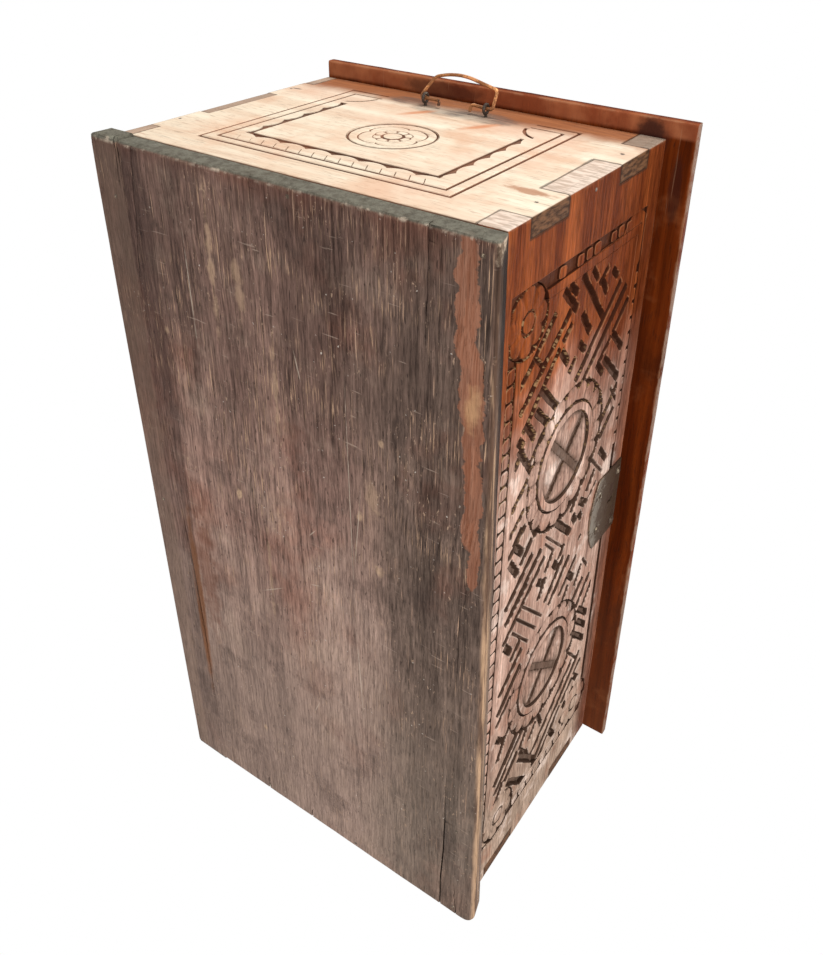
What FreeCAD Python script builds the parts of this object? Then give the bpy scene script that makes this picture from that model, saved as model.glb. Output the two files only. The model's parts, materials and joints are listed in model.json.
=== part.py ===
"""A small carved teak coffer: six boards, finger-jointed and nailed, with a lid on linked wire loops,
a hooked wire bail at each end and an iron till lock behind its plate.

Frame: +X runs along the chest, +Y from the carved front to the back, +Z up. The origin lies on the
underside of the base, under the middle of the body. Sizes are millimetres.
"""
import FreeCAD, Part
import math
import os
import re

import Sketcher
from FreeCAD import Placement, Rotation, Vector

doc = FreeCAD.newDocument("carved_coffer")

# ---------------------------------------------------------------------------------------------
# Driving sizes
# ---------------------------------------------------------------------------------------------
SIZES = [
    # body
    ("body_length", 600, "over the outside of the two end boards"),
    ("body_depth", 304, "carved front to back"),
    ("wall_height", 217.3, "from the top of the base to the rim"),
    ("front_thickness", 20, "carved front board"),
    ("back_thickness", 10, "back board"),
    ("end_thickness", 13, "end boards"),
    # finger joints, upwards from the base; front and back have the odd ones, the ends the even ones
    ("finger_one", 25, "lowest finger, on the front and back"),
    ("finger_two", 46, "finger of the end board"),
    ("finger_three", 72, "middle finger, on the front and back"),
    ("finger_four", 44, "finger of the end board; the top finger takes the rest"),
    # base, nailed on a little askew
    ("base_thickness", 16, "base board and back strip"),
    ("base_front_lip_left", 4.5, "base proud of the front at the left end"),
    ("base_front_lip_right", 15.5, "base proud of the front at the right end"),
    ("base_back_lip_left", 13.3, "strip proud of the back at the left end"),
    ("base_back_setback_right", 2, "strip short of the back at the right end"),
    ("strip_width_left", 26, "back strip at its left end"),
    ("strip_width_right", 35.5, "back strip at its right end"),
    ("strip_left_projection", 2, "strip past the left end of the body"),
    ("strip_gap", 0.6, "joint between base board and strip"),
    ("hollow_start", 285, "worn hollow in the base board's back edge, from the left end"),
    ("hollow_length", 230, "worn hollow, along the joint"),
    ("hollow_depth", 3.2, "worn hollow, at its deepest"),
    ("base_corner_radius", 12, "rounded right front corner, in plan"),
    ("strip_corner_radius", 6, "rounded left back corner, in plan"),
    ("base_nosing_radius", 3, "lower front edge of the base"),
    ("base_lip_lean", 4.3, "the front edge leans back by this much from its foot to its top"),
    # lid
    ("lid_thickness", 8.5, "single thin board"),
    ("lid_front_overhang", 21.5, "lid past the front"),
    ("lid_left_overhang", 13.5, "lid past the left end"),
    ("lid_edge_radius", 1.5, "eased upper edges"),
    # carved front
    ("frame_end_margin", 43, "plain margin from the end to the border"),
    ("frame_low_margin", 9, "plain margin from the base to the border"),
    ("frame_top_margin", 18, "plain margin from the border to the rim"),
    ("band_width", 11, "sunk band of the border, which holds the beads"),
    ("top_band_width", 5.5, "the same band along the top"),
    ("band_depth", 2.2, "sunk band"),
    ("ridge_width", 7, "ridge between band and field"),
    ("field_depth", 5, "sunk ground of the field"),
    ("plain_width_top", 104, "plain wedge under the lock, along the field's top"),
    ("plain_height", 69, "plain wedge under the lock, down from the field's top"),
    ("medallion_spacing", 211.5, "centre to centre"),
    ("medallion_offset", 10.5, "middle of the pair, right of the middle of the body"),
    ("medallion_height", 122, "centre above the underside"),
    ("petal_radius", 57, "outside of the ruffled petals"),
    ("petal_depth", 1.4, "petals below the face of the board"),
    ("ring_radius", 42, "outside of the plain ring"),
    ("ring_width", 6, "plain ring"),
    ("disc_depth", 1.2, "disc inside the ring, below the face of the board"),
    ("cross_width", 8, "sunk arms of the cross"),
    ("cross_depth", 4, "cross below the face of the board"),
    ("rosette_radius", 24, "corner rosettes"),
    ("rosette_depth", 1, "corner rosettes below the face of the board"),
    ("rosette_button", 8, "centre button of a corner rosette"),
    ("rosette_inset_x", 24, "rosette centre in from the border's end"),
    ("rosette_inset_low", 24, "rosette centre up from the border's lower edge"),
    ("rosette_inset_top", 16, "rosette centre down from the border's top edge"),
    # incised ends
    ("incised_width", 2, "width of an incised line"),
    ("incised_depth", 1.6, "depth of an incised line"),
    ("incised_front_margin", 53, "outer line from the front"),
    ("incised_back_margin", 46, "outer line from the back"),
    ("incised_low_margin", 25, "outer line from the base"),
    ("incised_top_margin", 24, "outer line from the rim"),
    ("incised_spacing", 9, "outer line to inner line"),
    ("incised_break_front", 36, "unbroken top line at the front corner"),
    ("incised_break_back", 37, "unbroken top line at the back corner"),
    ("end_ring_radius", 31.3, "outside of the end rosette's ring"),
    ("end_ring_width", 3, "ring groove of the end rosette"),
    ("end_flower_radius", 25, "sunk flower of the end rosette"),
    ("end_button_radius", 5.5, "button of the end rosette"),
    ("end_rosette_offset", 1.6, "end rosette, from the middle towards the back"),
    # bails and their split pins
    ("bail_wire", 2.6, "diameter"),
    ("bail_offset", 4.4, "bail, from the middle towards the back"),
    ("bail_below_rim", 29, "swing axis below the rim"),
    ("bail_pin_spacing", 54, "between the two split pins"),
    ("bail_standoff", 5.8, "swing axis from the end board"),
    ("bail_foot_back_reach", 5.2, "back leg beyond the middle of its pin"),
    ("bail_foot_front_reach", 5.5, "front leg beyond the middle of its pin"),
    ("bail_shoulder_back", 22.5, "back shoulder, from the middle"),
    ("bail_shoulder_back_rise", 17, "back shoulder, from the swing axis"),
    ("bail_shoulder_front_rise", 14.5, "front shoulder, from the swing axis"),
    ("bail_crown_offset", 3, "crown, from the middle towards the back"),
    ("bail_rise", 22.3, "crown, from the swing axis"),
    ("bail_hook_reach", 13, "inturned hooks, past the middle of their pins"),
    ("bail_hook_lift", 1.4, "front hook above the swing axis"),
    ("bail_tip", 4, "turned-down tip of each hook"),
    ("bail_bend_radius", 2, "tight bends of the hooks and feet"),
    ("bail_shoulder_radius", 7, "bend of the back shoulder"),
    ("bail_front_shoulder_radius", 3.5, "bend of the front shoulder"),
    ("bail_crown_radius", 60, "bend of the crown"),
    ("left_bail_lift", 25, "degrees above level at which the left bail stands"),
    ("right_bail_drop", 98, "degrees below level at which the right bail hangs"),
    ("pin_wire", 2.2, "ring of a split pin"),
    ("pin_ring_radius", 3.4, "ring of a split pin, to the middle of its wire"),
    ("pin_shank", 2.6, "two legs together"),
    ("pin_tail", 9, "clenched tail, each way"),
    ("pin_tail_thickness", 1.2, "clenched tail"),
    ("pin_clearance", 0.1, "shank in its hole, on the radius"),
    # hinges
    ("hinge_inset", 95, "hinge from each end"),
    ("hinge_standoff", 8, "swing axis behind the back"),
    ("hinge_drop", 2, "swing axis below the rim"),
    ("case_pin_slope", 45, "degrees, pin down through the back board"),
    ("lid_pin_slope", 30, "degrees, pin up through the lid"),
    # lock
    ("lock_offset", 2.5, "keyhole, right of the middle of the body"),
    ("plate_width", 70, "lock plate"),
    ("plate_side_height", 41, "straight sides of the plate"),
    ("plate_bow", 11, "bowed lower edge, below the sides"),
    ("plate_thickness", 1.5, "lock plate"),
    ("plate_below_rim", 2, "top of the plate below the rim"),
    ("plate_nail_spread", 26, "upper nails, each side of the keyhole"),
    ("plate_nail_drop", 6, "upper nails below the top of the plate"),
    ("plate_low_spread", 17.5, "lower nail and lower nail hole, each side"),
    ("plate_low_drop", 37, "lower nail below the top of the plate"),
    ("plate_hole_size", 4.5, "open hole where a nail is lost"),
    ("keyhole_below_rim", 14.5, "centre of the keyhole"),
    ("keyhole_radius", 2.5, "round of the keyhole in the plate"),
    ("keyhole_slot_width", 2.4, "slot of the keyhole"),
    ("keyhole_slot_length", 8, "slot of the keyhole, below its centre"),
    ("keyway_margin", 0.8, "keyhole in the wood, larger all round"),
    ("case_width", 62, "lock case inside the front board"),
    ("case_height", 36, "lock case"),
    ("case_depth", 11, "lock case"),
    ("case_wall", 1.2, "sheet of the lock case"),
    ("case_below_rim", 1, "top of the lock case below the rim"),
    ("case_flange", 9, "nailing ears of the lock case"),
    ("bolt_length", 38, "lock bolt"),
    ("bolt_height", 5, "lock bolt"),
    ("bolt_thickness", 3, "lock bolt"),
    ("bolt_below_rim", 3.3, "top of the bolt below the rim"),
    ("bolt_nose", 12, "end of the withdrawn bolt, right of the keyhole"),
    ("bolt_clearance", 0.4, "bolt in its guides"),
    ("talon_width", 8, "block under the bolt, which the key pushes"),
    ("talon_height", 4, "block under the bolt"),
    ("talon_notch", 4, "notch in that block"),
    ("guide_thickness", 2, "guides of the bolt"),
    ("left_guide", 16, "left guide, left of the keyhole"),
    ("right_guide", 8.6, "right guide, right of the keyhole"),
    ("staple_offset", 15, "lid staple, right of the keyhole"),
    ("staple_bar", 2, "square bar of the lid staple"),
    ("staple_gap", 0.7, "staple's eye larger than the bolt, each way"),
    ("staple_tail", 8, "clenched leg on the lid, each way"),
    ("staple_slot_margin", 1, "slot for the staple in the lock case, each side"),
    # nails
    ("corner_nail", 2.4, "square shank in the corner joints"),
    ("corner_nail_length", 34, "corner nails"),
    ("base_nail", 2.6, "square shank under the base"),
    ("base_nail_length", 42, "base nails"),
    ("base_nail_front_inset", 5, "front row of base nails, from the front"),
    ("base_nail_end_inset", 10, "first and last nail of that row, from the ends"),
    ("base_nail_second", 240, "second nail of that row, from the left end"),
    ("base_nail_third", 490, "third nail of that row, from the left end"),
    ("left_end_nail", 140, "base nail in the left end board, from the front"),
    ("right_end_nail_one", 107, "first base nail in the right end board, from the front"),
    ("right_end_nail_two", 208, "second base nail in the right end board, from the front"),
    ("strip_nail_inset", 40, "outer nails of the back strip, from the ends"),
    ("case_nail_inset", 9, "nails of the lock case, from its top and foot"),
    ("rose_nail", 2, "square shank of the lock nails"),
    ("rose_nail_length", 12, "lock nails, in the wood"),
    ("rose_head", 6, "hammered head of the lock nails, across"),
    ("rose_crown", 2.4, "flat crown of that head, across"),
    ("rose_head_rise", 1.8, "hammered head of the lock nails"),
]
ALIASES = {alias for alias, number, note in SIZES}

sheet = doc.addObject("Spreadsheet::Sheet", "Sizes")
for row, (alias, number, note) in enumerate(SIZES, start=1):
    sheet.set(f"A{row}", note)
    sheet.set(f"B{row}", str(number))
    sheet.setAlias(f"B{row}", alias)
doc.recompute()

# Places that several pieces share, as expressions in the driving sizes
HALF_LENGTH = "(body_length / 2)"
HALF_DEPTH = "(body_depth / 2)"
RIM = "(base_thickness + wall_height)"
LEVELS = [
    "base_thickness",
    "(base_thickness + finger_one)",
    "(base_thickness + finger_one + finger_two)",
    "(base_thickness + finger_one + finger_two + finger_three)",
    "(base_thickness + finger_one + finger_two + finger_three + finger_four)",
    RIM,
]
LID_TOP = f"({RIM} + lid_thickness)"
LID_PIVOT_Y = f"({HALF_DEPTH} + hinge_standoff)"
LID_PIVOT_Z = f"({RIM} - hinge_drop)"
BAIL_Z = f"({RIM} - bail_below_rim)"
FRONT_INSIDE_Y = f"(-{HALF_DEPTH} + front_thickness)"
KEYHOLE_Z = f"({RIM} - keyhole_below_rim)"
PLATE_TOP_Z = f"({RIM} - plate_below_rim)"
CASE_TOP_Z = f"({RIM} - case_below_rim)"
BOLT_TOP_Z = f"({RIM} - bolt_below_rim)"
BOLT_MIDDLE_Y = f"({FRONT_INSIDE_Y} + (case_depth - case_wall) / 2)"


# ---------------------------------------------------------------------------------------------
# Helpers: expressions, sketches and features
# ---------------------------------------------------------------------------------------------
def full(expression):
    """The expression with each driving size written as a cell of the sheet."""
    return re.sub(r"[a-z_]+", lambda word: f"Sizes.{word[0]}" if word[0] in ALIASES else word[0],
                  str(expression))


def measure(expression):
    """What an expression comes to now."""
    return float(sheet.evalExpression(full(expression)))


def bind(thing, **expressions):
    """Binds properties to expressions; Base_x stands for Placement.Base.x."""
    for name, expression in expressions.items():
        path = f"Placement.Base.{name[-1]}" if name.startswith("Base_") else name
        thing.setExpression(path, full(expression))


def place(thing, x="0", y="0", z="0", axis=None, turn="0"):
    """Turns a piece about one axis through its own origin, and puts that origin at x, y, z."""
    rotation = Rotation(axis, measure(turn)) if axis else Rotation()
    thing.Placement = Placement(Vector(measure(x), measure(y), measure(z)), rotation)
    bind(thing, Base_x=x, Base_y=y, Base_z=z)
    if axis:
        thing.setExpression("Placement.Rotation.Angle", full(f"({turn}) * 1 deg"))
    return thing


def new_body(name):
    body = doc.addObject("PartDesign::Body", name)
    body.Label = name
    return body


def new_sketch(body, role, lift="0"):
    """A sketch on one of the body's origin planes, lifted along the plane's normal."""
    sketch = body.newObject("Sketcher::SketchObject", f"{body.Name}_sketch")
    plane = next(item for item in body.Origin.OriginFeatures if item.Role == role)
    sketch.AttachmentSupport = [(plane, "")]
    sketch.MapMode = "FlatFace"
    sketch.AttachmentOffset = Placement(Vector(0, 0, measure(lift)), Rotation())
    sketch.setExpression("AttachmentOffset.Base.z", full(lift))
    return sketch


def hold(sketch, kind, expression, *where):
    """A dimension of the sketch, bound to an expression."""
    number = sketch.addConstraint(Sketcher.Constraint(kind, *where, measure(expression)))
    sketch.setExpression(f"Constraints[{number}]", full(expression))


def hold_point(sketch, edge, end, x, y):
    hold(sketch, "DistanceX", x, -1, 1, edge, end)
    hold(sketch, "DistanceY", y, -1, 1, edge, end)


def outline(sketch, corners):
    """A closed outline of straight lines through the corners, each an x and a y."""
    points = [Vector(measure(x), measure(y), 0) for x, y in corners]
    first = sketch.GeometryCount
    count = len(points)
    for index in range(count):
        sketch.addGeometry(Part.LineSegment(points[index], points[(index + 1) % count]), False)
    for index in range(count):
        following = first + (index + 1) % count
        sketch.addConstraint(Sketcher.Constraint("Coincident", first + index, 2, following, 1))
    for index, (x, y) in enumerate(corners):
        hold_point(sketch, first + index, 1, x, y)


def rectangle(sketch, left, right, low, high):
    outline(sketch, [(left, low), (right, low), (right, high), (left, high)])


def close_with_arc(sketch, points, first, second, radius):
    """An arc through three points, its ends tied to two others, each an edge and its end."""
    arc = sketch.addGeometry(Part.Arc(*points), False)
    near = 1 if sketch.getPoint(arc, 1).distanceToPoint(points[0]) < 1e-3 else 2
    sketch.addConstraint(Sketcher.Constraint("Coincident", *first, arc, near))
    sketch.addConstraint(Sketcher.Constraint("Coincident", *second, arc, 3 - near))
    hold(sketch, "Radius", radius, arc)


def circle(sketch, x, y, radius):
    centre = Vector(measure(x), measure(y), 0)
    edge = sketch.addGeometry(Part.Circle(centre, Vector(0, 0, 1), measure(radius)), False)
    hold_point(sketch, edge, 3, x, y)
    hold(sketch, "Radius", radius, edge)


def regular(sketch, radius, turns, x="0"):
    """A regular outline round a point on the sketch's X, its corners at these turns in degrees."""
    outline(sketch, [(f"{x} + ({radius}) * cos({turn} deg)", f"({radius}) * sin({turn} deg)")
                     for turn in turns])


def pad(body, sketch, length, reverse=False):
    feature = body.newObject("PartDesign::Pad", f"{body.Name}_pad")
    feature.Profile = sketch
    feature.Reversed = reverse
    bind(feature, Length=length)
    doc.recompute()
    return feature


def pocket(body, sketch, depth, reverse=False):
    """Cuts into the body and makes sure that something was cut."""
    before = body.Shape.Volume
    feature = body.newObject("PartDesign::Pocket", f"{body.Name}_pocket")
    feature.Profile = sketch
    feature.Reversed = reverse
    bind(feature, Length=depth)
    doc.recompute()
    if body.Shape.Volume >= before - 1e-6:
        raise RuntimeError(f"{feature.Name} cuts nothing")
    return feature


def dress(body, kind, size, chosen):
    """Rounds (Fillet) or bevels (Chamfer) the edges of the body that pass the test."""
    blank = body.Tip
    names = [f"Edge{number}" for number, edge in enumerate(blank.Shape.Edges, start=1) if chosen(edge)]
    feature = body.newObject(f"PartDesign::{kind}", f"{body.Name}_{kind.lower()}")
    feature.Base = (blank, names)
    bind(feature, **{"Radius" if kind == "Fillet" else "Size": size})
    doc.recompute()
    return feature


def is_upright(edge):
    return abs(edge.tangentAt(edge.FirstParameter).z) > 0.99


def lean_back(body, lean, height, leaning, standing):
    """Leans one face of the body back over the face that it stands on, and makes sure that it took wood away."""
    blank = body.Tip
    faces = list(enumerate(blank.Shape.Faces, start=1))
    feature = body.newObject("PartDesign::Draft", f"{body.Name}_lean")
    feature.Base = (blank, [f"Face{number}" for number, face in faces if leaning(face)])
    feature.NeutralPlane = (blank, [f"Face{number}" for number, face in faces if standing(face)])
    bind(feature, Angle=f"atan(({lean}) / ({height}))")
    doc.recompute()
    if body.Shape.Volume >= blank.Shape.Volume:
        feature.Reversed = True
        doc.recompute()
    if body.Shape.Volume >= blank.Shape.Volume - 1e-6:
        raise RuntimeError(f"{feature.Name} takes nothing away")
    return feature


def middle(edge):
    return edge.valueAt((edge.FirstParameter + edge.LastParameter) / 2)


def compound(name, pieces):
    group = doc.addObject("Part::Compound", name)
    group.Label = name
    group.Links = pieces
    return group


def cut_by(name, board, tools):
    """The finished board: the body less the pins, nails and keys that pass through it."""
    board.Label = f"{name}_blank"
    cut = doc.addObject("Part::Cut", name)
    cut.Label = name
    cut.Base = board
    cut.Tool = compound(f"{name}_holes", tools)
    return cut


# ---------------------------------------------------------------------------------------------
# Boards of the body
# ---------------------------------------------------------------------------------------------
def fingered_outline(left, left_notch, right, right_notch, odd_fingers):
    """The outline of a wall whose ends step in wherever the other board's fingers pass."""
    corners = []
    for step in range(len(LEVELS) - 1):
        whole = (step % 2 == 0) == odd_fingers
        x = right if whole else right_notch
        corners += [(x, LEVELS[step]), (x, LEVELS[step + 1])]
    for step in reversed(range(len(LEVELS) - 1)):
        whole = (step % 2 == 0) == odd_fingers
        x = left if whole else left_notch
        corners += [(x, LEVELS[step + 1]), (x, LEVELS[step])]
    return corners


def long_wall(name, thickness, inwards):
    """Front or back board: the odd fingers are its own. Its outer face lies at its own y = 0."""
    body = new_body(name)
    sketch = new_sketch(body, "XZ_Plane")
    outline(sketch, fingered_outline(f"-{HALF_LENGTH}", f"-{HALF_LENGTH} + end_thickness",
                                     HALF_LENGTH, f"{HALF_LENGTH} - end_thickness", True))
    pad(body, sketch, thickness, reverse=inwards)
    return body


BORDER_LEFT = f"(-{HALF_LENGTH} + frame_end_margin)"
BORDER_RIGHT = f"({HALF_LENGTH} - frame_end_margin)"
BORDER_LOW = "(base_thickness + frame_low_margin)"
BORDER_TOP = f"({RIM} - frame_top_margin)"
FIELD_INSET = "(band_width + ridge_width)"
MEDALLIONS = ["(medallion_offset - medallion_spacing / 2)", "(medallion_offset + medallion_spacing / 2)"]
ROSETTES = [(f"({x})", f"({z})")
            for x in (f"{BORDER_LEFT} + rosette_inset_x", f"{BORDER_RIGHT} - rosette_inset_x")
            for z in (f"{BORDER_LOW} + rosette_inset_low", f"{BORDER_TOP} - rosette_inset_top")]


def carve_field(body):
    """Sinks the ground of the fret field, round the medallions and the plain wedge under the lock."""
    sketch = new_sketch(body, "XZ_Plane")
    left = f"{BORDER_LEFT} + {FIELD_INSET}"
    right = f"{BORDER_RIGHT} - {FIELD_INSET}"
    low = f"{BORDER_LOW} + {FIELD_INSET}"
    top = f"{BORDER_TOP} - top_band_width - ridge_width"
    outline(sketch, [
        (left, low), (right, low), (right, top),
        ("lock_offset + plain_width_top / 2", top),
        ("lock_offset", f"{top} - plain_height"),
        ("lock_offset - plain_width_top / 2", top),
        (left, top),
    ])
    for x in MEDALLIONS:
        circle(sketch, x, "medallion_height", "petal_radius")
    pocket(body, sketch, "field_depth")


def carve_band(body):
    """Sinks the border's band, in which beads and leaves are cut."""
    sketch = new_sketch(body, "XZ_Plane")
    rectangle(sketch, BORDER_LEFT, BORDER_RIGHT, BORDER_LOW, BORDER_TOP)
    rectangle(sketch, f"{BORDER_LEFT} + band_width", f"{BORDER_RIGHT} - band_width",
              f"{BORDER_LOW} + band_width", f"{BORDER_TOP} - top_band_width")
    pocket(body, sketch, "band_depth")


def carve_medallion(body, x):
    """Petals a little below the face, a ring at the face, and a disc cut across by two sunk arms."""
    petals = new_sketch(body, "XZ_Plane")
    circle(petals, x, "medallion_height", "petal_radius")
    circle(petals, x, "medallion_height", "ring_radius")
    pocket(body, petals, "petal_depth")
    disc = new_sketch(body, "XZ_Plane")
    circle(disc, x, "medallion_height", "ring_radius - ring_width")
    pocket(body, disc, "disc_depth")
    cross = new_sketch(body, "XZ_Plane")
    reach = "(ring_radius - ring_width - cross_width / 8)"
    corners = []
    for quarter in range(4):
        turn = 45 + 90 * quarter
        across = f"cross_width / 2 * cos({turn} deg)", f"cross_width / 2 * sin({turn} deg)"
        along = f"{reach} * cos({turn} deg)", f"{reach} * sin({turn} deg)"
        half_diagonal = "cross_width / sqrt(2)"
        inner = f"{half_diagonal} * cos({turn - 45} deg)", f"{half_diagonal} * sin({turn - 45} deg)"
        corners += [
            (f"{x} + {inner[0]}", f"medallion_height + {inner[1]}"),
            (f"{x} + {along[0]} + {across[1]}", f"medallion_height + {along[1]} - {across[0]}"),
            (f"{x} + {along[0]} - {across[1]}", f"medallion_height + {along[1]} + {across[0]}"),
        ]
    outline(cross, corners)
    pocket(body, cross, "cross_depth")


def carve_rosettes(body):
    """A petalled boss over each corner of the border."""
    bosses = new_sketch(body, "XZ_Plane", lift="-field_depth")
    for x, z in ROSETTES:
        circle(bosses, x, z, "rosette_radius")
    pad(body, bosses, "field_depth - rosette_depth")
    buttons = new_sketch(body, "XZ_Plane", lift="-field_depth")
    for x, z in ROSETTES:
        circle(buttons, x, z, "rosette_button")
    pad(body, buttons, "field_depth")


def keyhole(sketch, x, z, margin):
    """Round with a slot below it, as one outline."""
    radius = f"(keyhole_radius + {margin})"
    half_slot = f"(keyhole_slot_width / 2 + {margin})"
    foot = f"{z} - keyhole_slot_length - {margin}"
    neck = f"{z} - sqrt({radius}^2 - {half_slot}^2)"
    centre = Vector(measure(x), measure(z), 0)
    side = math.asin(measure(half_slot) / measure(radius))
    start = side - math.pi / 2
    end = 3 * math.pi / 2 - side
    whole = Part.Circle(centre, Vector(0, 0, 1), measure(radius))
    round_edge = sketch.addGeometry(Part.ArcOfCircle(whole, start, end), False)
    points = [(f"{x} - {half_slot}", neck), (f"{x} - {half_slot}", foot),
              (f"{x} + {half_slot}", foot), (f"{x} + {half_slot}", neck)]
    vectors = [Vector(measure(px), measure(pz), 0) for px, pz in points]
    lines = []
    for index in range(3):
        lines.append(sketch.addGeometry(Part.LineSegment(vectors[index], vectors[index + 1]), False))
    sketch.addConstraint(Sketcher.Constraint("Coincident", round_edge, 2, lines[0], 1))
    sketch.addConstraint(Sketcher.Constraint("Coincident", lines[0], 2, lines[1], 1))
    sketch.addConstraint(Sketcher.Constraint("Coincident", lines[1], 2, lines[2], 1))
    sketch.addConstraint(Sketcher.Constraint("Coincident", lines[2], 2, round_edge, 1))
    hold_point(sketch, round_edge, 3, x, z)
    hold_point(sketch, lines[1], 1, *points[1])
    hold_point(sketch, lines[1], 2, *points[2])
    sketch.addConstraint(Sketcher.Constraint("Vertical", lines[0]))
    sketch.addConstraint(Sketcher.Constraint("Vertical", lines[2]))
    hold(sketch, "Radius", radius, round_edge)


def front_board():
    body = long_wall("front_panel_blank", "front_thickness", inwards=True)
    carve_field(body)
    carve_band(body)
    for x in MEDALLIONS:
        carve_medallion(body, x)
    carve_rosettes(body)
    keyway = new_sketch(body, "XZ_Plane")
    keyhole(keyway, "lock_offset", KEYHOLE_Z, "keyway_margin")
    pocket(body, keyway, "front_thickness")
    return place(body, y=f"-{HALF_DEPTH}")


def back_board():
    body = long_wall("back_panel_blank", "back_thickness", inwards=False)
    return place(body, y=HALF_DEPTH)


def broken_line(sketch, inset):
    """One incised line round the end: a groove open at the top, where the bail hangs."""
    front = f"(-{HALF_DEPTH} + incised_front_margin + {inset})"
    back = f"({HALF_DEPTH} - incised_back_margin - {inset})"
    low = f"(base_thickness + incised_low_margin + {inset})"
    top = f"({RIM} - incised_top_margin - {inset})"
    front_stop = f"(-{HALF_DEPTH} + incised_front_margin + incised_break_front)"
    back_stop = f"({HALF_DEPTH} - incised_back_margin - incised_break_back)"
    width = "incised_width"
    outline(sketch, [
        (front_stop, top), (front, top), (front, low), (back, low), (back, top), (back_stop, top),
        (back_stop, f"{top} - {width}"), (f"{back} - {width}", f"{top} - {width}"),
        (f"{back} - {width}", f"{low} + {width}"), (f"{front} + {width}", f"{low} + {width}"),
        (f"{front} + {width}", f"{top} - {width}"), (front_stop, f"{top} - {width}"),
    ])


def end_board(name, inwards):
    """End board: the even fingers are its own. Its outer face lies at its own x = 0."""
    body = new_body(name)
    blank = new_sketch(body, "YZ_Plane")
    outline(blank, fingered_outline(f"-{HALF_DEPTH}", FRONT_INSIDE_Y,
                                    HALF_DEPTH, f"{HALF_DEPTH} - back_thickness", False))
    pad(body, blank, "end_thickness", reverse=not inwards)
    for inset in ("0", "incised_spacing"):
        line = new_sketch(body, "YZ_Plane")
        broken_line(line, inset)
        pocket(body, line, "incised_depth", reverse=inwards)
    ring = new_sketch(body, "YZ_Plane")
    circle(ring, "end_rosette_offset", "medallion_height", "end_ring_radius")
    circle(ring, "end_rosette_offset", "medallion_height", "end_ring_radius - end_ring_width")
    pocket(body, ring, "incised_depth", reverse=inwards)
    flower = new_sketch(body, "YZ_Plane")
    circle(flower, "end_rosette_offset", "medallion_height", "end_flower_radius")
    circle(flower, "end_rosette_offset", "medallion_height", "end_button_radius")
    pocket(body, flower, "incised_depth", reverse=inwards)
    return place(body, x=f"-{HALF_LENGTH}" if inwards else HALF_LENGTH)


# ---------------------------------------------------------------------------------------------
# Base and lid
# ---------------------------------------------------------------------------------------------
JOINT_LEFT = f"({HALF_DEPTH} + base_back_lip_left - strip_width_left)"
JOINT_RIGHT = f"({HALF_DEPTH} - base_back_setback_right - strip_width_right)"


def joint_y(along, gap="0"):
    """Where the slanting joint between base board and strip lies, so far from the left end."""
    return f"({JOINT_LEFT} + ({JOINT_RIGHT} - {JOINT_LEFT}) * ({along}) / body_length + {gap})"


def base_blank():
    """The wide base board: wider at one end, its back edge worn hollow along the joint."""
    body = new_body("base_board_blank")
    sketch = new_sketch(body, "XY_Plane")
    hollow_end = "(hollow_start + hollow_length)"
    corners = [
        (f"-{HALF_LENGTH} + hollow_start", joint_y("hollow_start", "-strip_gap")),
        (f"-{HALF_LENGTH}", joint_y("0", "-strip_gap")),
        (f"-{HALF_LENGTH}", f"-{HALF_DEPTH} - base_front_lip_left"),
        (HALF_LENGTH, f"-{HALF_DEPTH} - base_front_lip_right"),
        (HALF_LENGTH, joint_y("body_length", "-strip_gap")),
        (f"-{HALF_LENGTH} + {hollow_end}", joint_y(hollow_end, "-strip_gap")),
    ]
    points = [Vector(measure(x), measure(y), 0) for x, y in corners]
    for index in range(5):
        sketch.addGeometry(Part.LineSegment(points[index], points[index + 1]), False)
    for index in range(4):
        sketch.addConstraint(Sketcher.Constraint("Coincident", index, 2, index + 1, 1))
    for index in range(5):
        hold_point(sketch, index, 1, *corners[index])
    hold_point(sketch, 4, 2, *corners[5])
    deepest = (points[0] + points[5]) * 0.5 - Vector(0, measure("hollow_depth"), 0)
    chord = f"(hollow_length * sqrt(1 + (({JOINT_LEFT} - {JOINT_RIGHT}) / body_length)^2))"
    close_with_arc(sketch, (points[5], deepest, points[0]), (4, 2), (0, 1),
                   f"({chord}^2 / 4 + hollow_depth^2) / (2 * hollow_depth)")
    pad(body, sketch, "base_thickness")
    lean_back(body, "base_lip_lean", "base_thickness",
              lambda face: face.normalAt(0, 0).y < -0.9, lambda face: face.normalAt(0, 0).z < -0.9)
    dress(body, "Fillet", "base_corner_radius",
          lambda edge: abs(edge.tangentAt(edge.FirstParameter).z) > 0.9 and middle(edge).x > 0 and middle(edge).y < 0)
    dress(body, "Fillet", "base_nosing_radius",
          lambda edge: middle(edge).z < 0.01 and middle(edge).y < -measure(HALF_DEPTH) + 1)
    return body


def strip_blank():
    """The narrow strip that makes up the width of the base at the back."""
    body = new_body("base_back_strip_blank")
    sketch = new_sketch(body, "XY_Plane")
    left = f"-{HALF_LENGTH} - strip_left_projection"
    outline(sketch, [
        (left, joint_y("-strip_left_projection")),
        (HALF_LENGTH, joint_y("body_length")),
        (HALF_LENGTH, f"{HALF_DEPTH} - base_back_setback_right"),
        (left, f"{HALF_DEPTH} + base_back_lip_left"),
    ])
    pad(body, sketch, "base_thickness")
    dress(body, "Fillet", "strip_corner_radius",
          lambda edge: is_upright(edge) and middle(edge).x < 0 and middle(edge).y > measure(HALF_DEPTH))
    return body


def lid_blank():
    """The lid: one thin board, past the front and the left end, flush at the right and the back."""
    body = new_body("lid_board_blank")
    sketch = new_sketch(body, "XY_Plane")
    rectangle(sketch, f"-{HALF_LENGTH} - lid_left_overhang", HALF_LENGTH,
              f"-{HALF_DEPTH} - lid_front_overhang", HALF_DEPTH)
    pad(body, sketch, "lid_thickness")
    top = measure("lid_thickness")
    dress(body, "Fillet", "lid_edge_radius", lambda edge: middle(edge).z > top - 0.01)
    return place(body, z=RIM)


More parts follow.
